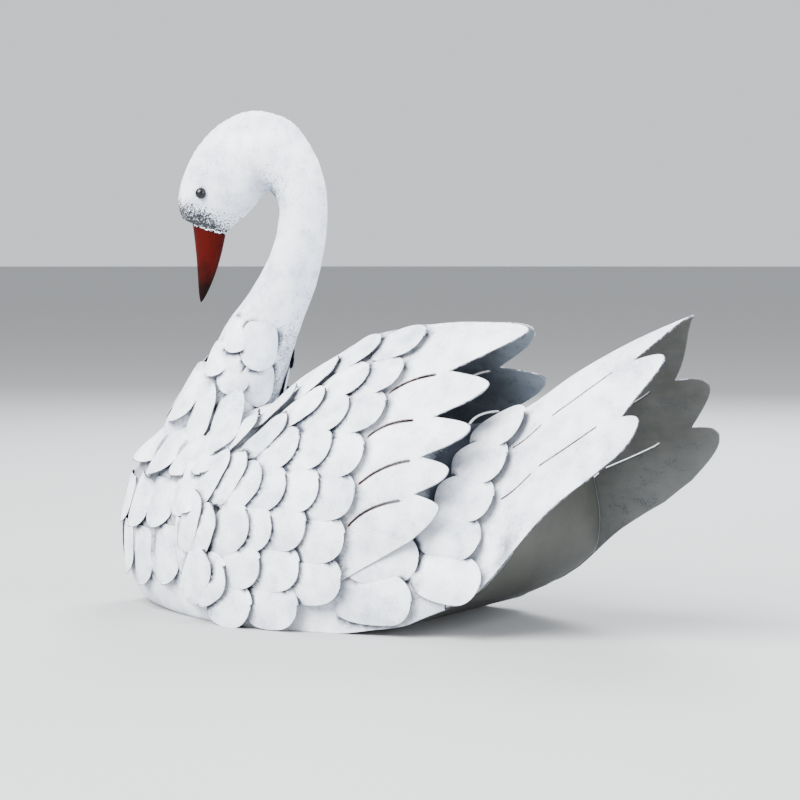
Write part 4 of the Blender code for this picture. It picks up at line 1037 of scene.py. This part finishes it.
def eye(side, sizes, colours):
    """A glossy bead on the side of the head, in a thin ring of paint."""
    us, turns = np.meshgrid(np.linspace(12, HEAD_END, 201), np.linspace(0.05, 0.95, 91), indexing="ij")
    seats = neck_point(us, turns)
    miss = np.hypot(seats[..., 0] - EYE_PLACE[0], seats[..., 2] - EYE_PLACE[1])
    at = np.unravel_index(np.argmin(miss), miss.shape)
    seat = seats[at]
    out = normals_of(neck_point, us[at], turns[at], (seat[0], 0, seat[2]))
    flat = unit(np.cross(out, (0, 0, 1)))
    turn = full_turn(40)
    circle = np.cos(turn)[:, None] * flat + np.sin(turn)[:, None] * np.cross(out, flat)
    lean = np.linspace(-0.5, np.pi / 2, 14, endpoint=False)
    centre = seat + out * EYE_SEAT
    bead = centre + (np.cos(lean)[:, None, None] * circle + np.sin(lean)[:, None, None] * out) * sizes.eye
    points, faces = capped(bead, None, centre + out * sizes.eye)
    mirror = np.array((1, -side, 1))
    inner = centre * mirror
    piece(f"eye_bead_{SIDES[side]}", points * mirror, facing(points * mirror, faces, inner), ("eye",), colours,
          "eye_black", (f"eye_{SIDES[side]}",))
    points, faces = tube(seat + circle * (sizes.eye + EYE_RING_GAP), np.full(len(turn), EYE_RING_RADIUS), 8)
    piece(f"eye_ring_{SIDES[side]}", points * mirror, facing(points * mirror, faces, inner), ("neck",), colours,
          "white_paint", tone=0.5, grime=0.35)


# ---- scale plates
ACROSS = np.sin(np.linspace(-np.pi / 2, np.pi / 2, 19))
ROOT_ROWS, END_ROWS = 10, 11
SWING, SPREAD = 0.05, 0.03    # how far a plate's heading and its length and width vary
LAID_OUTLINE, LAID_STEPS, LAID_REACH = (0.35, 0.5), 6, 0.0008
LAID_ROOT_LIFT, LAID_TWIST, FRONT_LIFT, FRONT_TWIST = 0.0005, -0.0018, 0.0012, -0.001
STIFF_CROWN = 0.8             # share of the full dome that a stiff plate has
OVER = -0.0003                # an edge this far below a point still counts as over it

# Kinds of stiff plate: a point inside the form below, how far the root lies off it, the root's share in the
# plate's way out, the radius of its bend, its twist, the root's width and the reach of its taper as shares,
# and the way out of an end in the open.
Kind = namedtuple("Kind", "inner root_lift share bend twist outline way")
TAIL_KIND = Kind((0.06, 0, 0), 0.0022, 2 / 3, 0.075, 0.0012, (0.3, 0.5), None)
FLANK_KIND = Kind((0, 0, 0.03), 0.0014, 1, 0.09, 0.0012, (0.45, 0.5), None)
SHOULDER_KIND = Kind(INSIDE["wing"], 0.003, 1, 0.045, 0.0008, (0.6, 0.4), None)
BREAST_KIND = Kind((-0.13, 0, 0.06), 0.0012, 0.6, 0.052, 0.0008, (0.72, 0.35), (-0.35, -0.9, 0.35))
LOW_NECK_KIND = Kind((-0.13, 0, 0.19), 0.0012, 0.6, 0.034, 0.0006, (0.42, 0.42), (-0.45, -0.85, 0.25))
HIGH_NECK_KIND = LOW_NECK_KIND._replace(bend=0.024)
TAIL_PLATE_WIDTH, TAIL_PLATE_LIFT, FLANK_PLATE_WIDTH, FLANK_PLATE_LIFT = 0.0375, 0.0052, 0.036, 0.005


def tongue(length, half, neck, taper):
    """Shares along a scale plate and its half widths there, from its narrow root to its round end."""
    start = 1 - 1.06 * half / length
    along = np.concatenate((start * (1 - np.cos(np.linspace(0, np.pi / 2, ROOT_ROWS, endpoint=False))),
                            start + (1 - start) * np.sin(np.linspace(0, np.pi / 2, END_ROWS))))
    grown = np.sqrt(1 - (1 - np.clip(along / taper, 0, 1)) ** 2)
    end = np.clip((along - start) / (1 - start), 0, 1)
    return along, half * (neck + (1 - neck) * grown) * np.sqrt(np.clip(1 - end ** 2.15, 0, 1))


class Plates:
    """Gathers many scale plates into one mesh."""

    def __init__(self, sizes, seed):
        self.sizes = sizes
        self.random = random.Random(seed)
        self.grids, self.normals, self.outlines, self.edges, self.tones = [], [], [], [], []

    def varied(self):
        """A factor near one."""
        return self.random.uniform(1 - SPREAD, 1 + SPREAD)

    def add(self, base, normal, s, t, half, root_lift, tip_lift, twist, crown):
        """Raises one plate's grid of points from where it rests and keeps it."""
        dome = self.sizes.dome * crown * self.random.uniform(0.8, 1.2)
        lift = root_lift + (tip_lift - root_lift) * s ** 1.2 + twist * t * np.sqrt(s)
        beaten = (1 - t * t) * np.clip(np.sin(np.clip(s * 0.88 + 0.12, 0, 1) * np.pi), 0, 1) ** 0.7
        points = base + normal * (lift + dome * beaten + self.sizes.plate)[..., None]
        inward = np.minimum((1 - np.abs(t)) * half, np.linalg.norm(points - points[-1, 0], axis=-1))
        edge = np.clip(1 - inward / self.sizes.edge_band, 0, 1) * ease(0.10, 0.3, s) * 0.75
        self.grids.append(points)
        self.normals.append(np.broadcast_to(normal, points.shape))
        outline = np.concatenate((points[3:, 0], points[3:, -1]))
        self.outlines.append(outline - np.concatenate((normal[3:, 0], normal[3:, -1])) * self.sizes.plate)
        self.edges.append(edge)
        self.tones.append(np.full(edge.shape, self.random.uniform(0.0, 0.4)))

    def lay(self, surface, inner, tip, heading, length, width, root_lift, tip_lift, twist):
        """A plate that follows a surface, with its round end at a place there and pointing along a heading."""
        swing = self.random.uniform(-SWING, SWING)
        heading = (heading[0] * math.cos(swing) - heading[1] * math.sin(swing),
                   heading[0] * math.sin(swing) + heading[1] * math.cos(swing))
        length, half = length * self.varied(), width / 2 * self.varied()
        along, halves = tongue(length, half, *LAID_OUTLINE)
        s, t = np.meshgrid(along, ACROSS, indexing="ij")
        back, side = (s - 1) * length, t * halves[:, None]
        a, b = np.full(s.shape, float(tip[0])), np.full(s.shape, float(tip[1]))
        for _ in range(LAID_STEPS):
            da = (surface(a + LAID_REACH, b) - surface(a - LAID_REACH, b)) / (2 * LAID_REACH)
            db = (surface(a, b + LAID_REACH) - surface(a, b - LAID_REACH)) / (2 * LAID_REACH)
            e, f, g = np.sum(da * da, -1), np.sum(da * db, -1), np.sum(db * db, -1)
            down = (e * heading[0] + f * heading[1], f * heading[0] + g * heading[1])
            size = np.sqrt(heading[0] * down[0] + heading[1] * down[1])
            ca, cb = -down[1], down[0]
            span = np.sqrt(e * ca * ca + 2 * f * ca * cb + g * cb * cb)
            a = a + (back * heading[0] / size + side * ca / span) / LAID_STEPS
            b = b + (back * heading[1] / size + side * cb / span) / LAID_STEPS
        self.add(surface(a, b), normals_of(surface, a, b, inner), s, t, half, root_lift, tip_lift, twist, 1)

    def bridge(self, kind, surface, root, tip, lift, width, side):
        """A stiff plate of some kind, from its root on a surface to its round end. The end is another place
        there or, with three coordinates, a point in the open."""
        root, first = seat(surface, root, kind.inner, kind.root_lift)
        if len(tip) == 2:
            tip, out = seat(surface, tip, kind.inner, lift)
        else:
            out = np.array(kind.way) * (1, side, 1)
        half, bend, twist = width / 2 * self.varied(), kind.bend, kind.twist * side
        length, axis = np.linalg.norm(tip - root), unit(tip - root)
        out = out + first * kind.share
        out = unit(out - axis * (out @ axis))
        across = np.cross(out, axis)
        along, halves = tongue(length, half, *kind.outline)
        s, t = np.meshgrid(along, ACROSS, indexing="ij")
        side = t * halves[:, None]
        base = root + axis * (s * length)[..., None] + across * (bend * np.sin(side / bend))[..., None]
        base = base - out * (bend * (1 - np.cos(side / bend)))[..., None]
        turn = (side / bend)[..., None]
        self.add(base, out * np.cos(turn) + across * np.sin(turn), s, t, half, 0, 0, twist, STIFF_CROWN)

    def shade(self, points, normals, reach, own=None):
        """How near each point is to a free edge that lies over it."""
        nearest = np.full(len(points), np.inf)
        for k, outline in enumerate(self.outlines):
            if k != own:
                gaps = outline[None] - points[:, None]
                over = np.einsum("pok,pk->po", gaps, normals) > OVER
                nearest = np.minimum(nearest, np.where(over, np.linalg.norm(gaps, axis=-1), 1.0).min(1))
        return np.exp(-(nearest / reach) ** 1.5)

    def finish(self, name, colours, nodes):
        """Makes one piece of all the plates, each wound to face outwards."""
        rows, columns = self.grids[0].shape[:2]
        points, faces, wash = [], [], []
        # painted shade: each plate darkens towards its root, where it goes in under the plates in front
        root = np.repeat(ease(0.40, 0.02, np.linspace(0, 1, rows)), columns)
        for k, (grid, normal) in enumerate(zip(self.grids, self.normals)):
            flat, normal = grid.reshape(-1, 3), normal.reshape(-1, 3)
            # painted shade with patina near the free edges of the other plates over this one
            wash.append(np.clip(0.95 * self.shade(flat, normal, PLATE_SHADE, k) + 0.30 * root, 0, 1))
            first = k * rows * columns
            made = np.array(grid_faces(rows, columns)) + first
            corners = grid[rows // 2:, columns // 2:][:2, :2].reshape(-1, 3)
            flap = np.cross(corners[1] - corners[0], corners[2] - corners[0])
            faces += [tuple(face) for face in (made if flap @ normal[rows // 2 * columns] > 0 else made[:, ::-1])]
            points.append(flat)
        piece(name, np.concatenate(points), faces, ("plate", "slate", "rim"), colours, "scale_paint", nodes,
              self.sizes.plate, welded=True, edge=np.ravel(self.edges), wash=np.concatenate(wash),
              tone=np.ravel(self.tones))


def wing_layout(side, sizes):
    """The scale plates on one wing."""
    plates = Plates(sizes, 11 + side)
    for x, z, rise, width in WING_PLATES:
        heading = math.cos(math.radians(rise)), math.sin(math.radians(rise))
        front = float(ease(-0.045, -0.100, x))
        lift = FRONT_LIFT * front
        plates.lay(wing_surface(side), INSIDE["wing"], (x, z), heading, sizes.plate_length, width,
                   LAID_ROOT_LIFT + lift, sizes.tip_lift + lift, LAID_TWIST + FRONT_TWIST * front)
    return plates


def side_point(side):
    """The body's side as a surface over X and Z."""
    return lambda x, z: places(x, side * body_reach(x, z), z)


def seat(surface, at, inner, lift):
    """A point a little off a surface, and the way out there."""
    a, b = np.array(float(at[0])), np.array(float(at[1]))
    out = normals_of(surface, a, b, inner)
    return surface(a, b) + out * lift, out


def rear_layout(side, sizes):
    """The scale plates behind one wing, on the tail's front and low on the body."""
    plates = Plates(sizes, 31 + side)
    for x, end_arc, root_arc, length in TAIL_PLATES:
        end_arc = min(end_arc, float(np.interp(x - 0.01, *zip(*tail_rim(side)))) - (0.021 if side > 0 else 0.0))
        plates.bridge(TAIL_KIND, rear_point, (x - length, side * root_arc), (x, side * end_arc),
                      TAIL_PLATE_LIFT, TAIL_PLATE_WIDTH, side)
    for end, start in FLANK_PLATES:
        plates.bridge(FLANK_KIND, side_point(side), start, end, FLANK_PLATE_LIFT, FLANK_PLATE_WIDTH, side)
    return plates


def round_neck(u, turn):
    """The neck with no sharp edge at its throat, which the plates lie round."""
    u, turn = alike(u, turn)
    points = neck_point(u, turn)
    lean = np.abs(np.sin(turn * np.pi))
    sharp = np.interp(u, range(len(NECK_STATIONS)), NECK_STATIONS[:, 5])
    points[..., 1] *= np.maximum(lean, 1e-6) ** (1 - sharp)
    return points


def on_side(place, side, back=None):
    """A place on the breast, or a turn further back round the neck, or an open point, put on one side."""
    if len(place) == 3:
        return np.array(place) * (1, side, 1)
    if back is None:
        return side * place[0], place[1]
    return place[0], place[1] + back if side > 0 else 2 - place[1] - back


def front_layout(sizes):
    """The scale plates on the breast and those on the neck, on both sides."""
    breast, neck = Plates(sizes, 53), Plates(sizes, 71)
    for side in (1, -1):
        for start, end, width, lift in BREAST_PLATES:
            if side > 0 or start[0] > 0:
                breast.bridge(BREAST_KIND, breast_point, on_side(start, side), on_side(end, side), lift, width, side)
        for start, end, width, lift in SHOULDER_PLATES:
            breast.bridge(SHOULDER_KIND, wing_surface(-side), start, end, lift, width, side)
        for start, end, width, lift in NECK_PLATES:
            if side > 0 or start[1] < 0.9:
                back = 0.07 if side < 0 and start[1] < 0.5 else 0
                kind = LOW_NECK_KIND if start[0] < 3 else HIGH_NECK_KIND
                neck.bridge(kind, round_neck, on_side(start, side, back), on_side(end, side, back),
                            lift if side > 0 else lift * 0.4, width, side)
    return breast, neck


# ---- floor, lights and camera
FLOOR_RADIUS, FLOOR_CORNERS = 60, 96
AIM_HEIGHT = 0.164            # of the point that camera and lights look at
LENS, SENSOR = 115.2, 36      # in millimetres
SKY = (0.78, 0.80, 0.83, 1)
# name, steps to the right of that point, towards the camera and up, size, share of the key light, tint
LIGHTS = (
    ("key", (-1.5, 1.3, 1.9), 2.4, 1.0, (1.0, 0.985, 0.96)),
    ("fill", (2.0, 1.2, 0.7), 1.6, 0.22, (0.93, 0.96, 1.0)),
    ("back", (0.5, -2.0, 1.6), 1.2, 0.30, (0.95, 0.98, 1.0)),
)


def stage(sizes, colours):
    """A wide floor, a pale sky, three area lights and the camera."""
    scene = bpy.context.scene
    turns = full_turn(FLOOR_CORNERS)
    mesh = bpy.data.meshes.new("floor")
    mesh.from_pydata([(math.cos(turn) * FLOOR_RADIUS, math.sin(turn) * FLOOR_RADIUS, 0) for turn in turns], [],
                     [range(FLOOR_CORNERS)])
    mesh.materials.append(finish_for("floor", colours))
    linked("floor", mesh)
    scene.world = bpy.data.worlds.new("studio")
    scene.world.use_nodes = True
    sky = scene.world.node_tree.nodes["Background"].inputs
    sky["Color"].default_value, sky["Strength"].default_value = SKY, sizes.ambient
    turn, rise = math.radians(sizes.turn), math.radians(sizes.rise)
    target = Vector((ORIGIN_SHIFT, 0, AIM_HEIGHT))
    back = Vector((math.sin(turn) * math.cos(rise), -math.cos(turn) * math.cos(rise), math.sin(rise)))
    right, up = Vector((math.cos(turn), math.sin(turn), 0)), Vector((0, 0, 1))
    for name, steps, size, share, tint in LIGHTS:
        data = bpy.data.lights.new(name, "AREA")
        data.size, data.energy, data.color = size, sizes.key * share, tint
        light = linked(name, data)
        light.location = target + right * steps[0] + back * steps[1] + up * steps[2]
        light.rotation_euler = (light.location - target).to_track_quat("Z", "Y").to_euler()
    data = bpy.data.cameras.new("camera")
    data.lens, data.sensor_width = LENS, SENSOR
    scene.camera = linked("camera", data)
    scene.camera.location = target + back * sizes.distance
    scene.camera.rotation_euler = back.to_track_quat("Z", "Y").to_euler()


# ---- the add-on
def number(name, description, default, **limits):
    """A property that holds a number."""
    return bpy.props.FloatProperty(name=name, description=description, default=default, **limits)


def length(name, description, default):
    return number(name, description, default, min=0.0, unit="LENGTH", subtype="DISTANCE", precision=5)


def colour(name, description, default):
    return bpy.props.FloatVectorProperty(name=name, description=description, default=default, min=0.0, max=1.0,
                                         size=3, subtype="COLOR")


class SwanSizes(bpy.types.PropertyGroup):
    sheet: length("Sheet", "Thickness of the main sheets", 0.0012)
    plate: length("Plate", "Thickness of a scale plate", 0.0008)
    slit: length("Cut width", "Width of the cuts between feathers", 0.0012)
    edge_band: length("Worn edge", "Width of the worn paint along an edge", 0.0011)
    plate_length: length("Plate length", "Length of a wing's scale plate", 0.046)
    dome: length("Dome", "How far a scale plate is beaten out in its middle", 0.0017)
    tip_lift: length("Tip lift", "How far a plate's round end stands off the sheet", 0.0046)
    eye: length("Eye radius", "Radius of the eye bead", 0.0044)


class SwanColours(bpy.types.PropertyGroup):
    paint: colour("Paint", "White paint", (0.87, 0.905, 0.965))
    paint_shade: colour("Thin paint", "White paint where it is thin or dusty", (0.40, 0.46, 0.57))
    speck: colour("Speck", "Fine specks in the paint", (0.17, 0.20, 0.28))
    # painted shade with patina: the dark colour laid under plates' edges, in corners and under the wing
    patina_and_shade: colour("Patina", "Soft dark patina in corners and under edges", (0.036, 0.044, 0.062))
    # painted shade: the belly's dark colour stands for the shade under the body, and the next colour is the lighter
    # one it turns to higher up
    under: colour("Belly", "Dark olive paint under the body", (0.008, 0.008, 0.006))
    under_faded: colour("Faded belly", "Weathered paint high on the belly", (0.036, 0.038, 0.030))
    dirt: colour("Dirt", "Dark speckled grime", (0.012, 0.013, 0.017))
    edge: colour("Worn edge", "Dark metal along the cut edges", (0.040, 0.034, 0.045))
    rust: colour("Rust", "Rust in the cuts", (0.24, 0.085, 0.055))
    slate: colour("Inside", "Dark paint inside the wings", (0.034, 0.041, 0.052))
    # the paler grey inside the wings towards the feathers' ends: partly weathering and partly painted light
    slate_faded: colour("Faded inside", "Weathered paint inside the wings", (0.23, 0.265, 0.30))
    slate_speck: colour("Inside specks", "Specks inside the wings", (0.014, 0.018, 0.026))
    # painted shade: the dark grey deep inside the tail and the lighter grey it turns to towards the rim and the rear
    grey: colour("Tail inside", "Grey paint inside the tail", (0.044, 0.045, 0.040))
    grey_faded: colour("Faded tail inside", "Weathered paint inside the tail", (0.155, 0.163, 0.160))
    beak: colour("Beak", "Red paint of the beak", (0.040, 0.0012, 0.0006))
    beak_tip: colour("Beak tip", "Thin brown paint at the beak's tip", (0.0045, 0.0008, 0.0004))
    eye: colour("Eye", "Eye bead", (0.002, 0.002, 0.003))
    floor: colour("Floor", "Studio floor", (0.36, 0.368, 0.376))


class SwanStage(bpy.types.PropertyGroup):
    turn: number("Turn", "Camera's turn round the swan, in degrees", 30.0)
    rise: number("Rise", "Camera's rise above level, in degrees", 3.24)
    distance: length("Distance", "Distance from the camera to the swan", 1.92)
    key: number("Key light", "Power of the main light, in watts", 440.0)
    ambient: number("Ambient", "Strength of the surrounding light", 1.15)


def bands(place, count):
    """The solids that a group of scale plates stands for."""
    return [f"{place}_scales_{k + 1}" for k in range(count)]


def settings(context):
    """The swan's sizes and colours."""
    return context.scene.swan_sizes, context.scene.swan_colours


class SWAN_OT_body(bpy.types.Operator):
    """Builds the hollow body and the sheet that closes it below"""
    bl_idname = "swan.body"
    bl_label = "Body and belly"

    def execute(self, context):
        body_skin(*settings(context))
        belly(*settings(context))
        return {"FINISHED"}


class SWAN_OT_tail(bpy.types.Operator):
    """Builds the arched tail sheet with its cut feathers"""
    bl_idname = "swan.tail"
    bl_label = "Tail"

    def execute(self, context):
        tail(*settings(context))
        return {"FINISHED"}


class SWAN_OT_wings(bpy.types.Operator):
    """Builds the two wing sheets with their cut flight feathers"""
    bl_idname = "swan.wings"
    bl_label = "Wings"

    def execute(self, context):
        for side in SIDES:
            wing(side, *settings(context))
        return {"FINISHED"}


class SWAN_OT_neck(bpy.types.Operator):
    """Builds the neck and head as one skin"""
    bl_idname = "swan.neck"
    bl_label = "Neck and head"

    def execute(self, context):
        neck_skin(*settings(context))
        return {"FINISHED"}


class SWAN_OT_beak(bpy.types.Operator):
    """Builds the beak and the weld that holds it"""
    bl_idname = "swan.beak"
    bl_label = "Beak"

    def execute(self, context):
        beak(*settings(context))
        beak_weld(*settings(context))
        return {"FINISHED"}


class SWAN_OT_eyes(bpy.types.Operator):
    """Builds the two eye beads"""
    bl_idname = "swan.eyes"
    bl_label = "Eyes"

    def execute(self, context):
        for side in SIDES:
            eye(side, *settings(context))
        return {"FINISHED"}


class SWAN_OT_plates(bpy.types.Operator):
    """Lays the scale plates on the wings, the body behind them, the breast and the neck"""
    bl_idname = "swan.plates"
    bl_label = "Scale plates"

    def execute(self, context):
        sizes, colours = settings(context)
        for side, label in SIDES.items():
            wing_layout(side, sizes).finish(f"wing_plates_{label}", colours, bands(f"wing_{label}", 6))
            rear_layout(side, sizes).finish(f"rear_plates_{label}", colours, bands(f"rear_{label}", 2))
        for layout, name in zip(front_layout(sizes), ("breast", "neck")):
            layout.finish(f"{name}_plates", colours, bands(name, 3))
        return {"FINISHED"}


class SWAN_OT_stage(bpy.types.Operator):
    """Makes the floor, the lights and the camera"""
    bl_idname = "swan.stage"
    bl_label = "Stage"

    def execute(self, context):
        stage(context.scene.swan_stage, context.scene.swan_colours)
        return {"FINISHED"}


OPERATORS = (SWAN_OT_body, SWAN_OT_tail, SWAN_OT_wings, SWAN_OT_neck, SWAN_OT_beak, SWAN_OT_eyes,
             SWAN_OT_plates, SWAN_OT_stage)


class SWAN_PT_panel(bpy.types.Panel):
    """Lists the swan's pieces"""
    bl_idname = "SWAN_PT_panel"
    bl_label = "Painted metal swan"
    bl_space_type = "VIEW_3D"
    bl_region_type = "UI"
    bl_category = "Swan"

    def draw(self, context):
        for operator in OPERATORS:
            self.layout.operator(operator.bl_idname, text=operator.bl_label)
        for group in (context.scene.swan_sizes, context.scene.swan_colours, context.scene.swan_stage):
            box = self.layout.box()
            for name in group.__annotations__:
                box.prop(group, name)


CLASSES = (SwanSizes, SwanColours, SwanStage, *OPERATORS, SWAN_PT_panel)


GROUPS = {"swan_sizes": SwanSizes, "swan_colours": SwanColours, "swan_stage": SwanStage}


def register():
    for made in CLASSES:
        bpy.utils.register_class(made)
    for name, group in GROUPS.items():
        setattr(bpy.types.Scene, name, bpy.props.PointerProperty(type=group))


def unregister():
    for name in GROUPS:
        delattr(bpy.types.Scene, name)
    for made in reversed(CLASSES):
        bpy.utils.unregister_class(made)


def main():
    register()
    for operator in OPERATORS:
        group, name = operator.bl_idname.split(".")
        getattr(getattr(bpy.ops, group), name)()


if __name__ == "__main__":
    main()
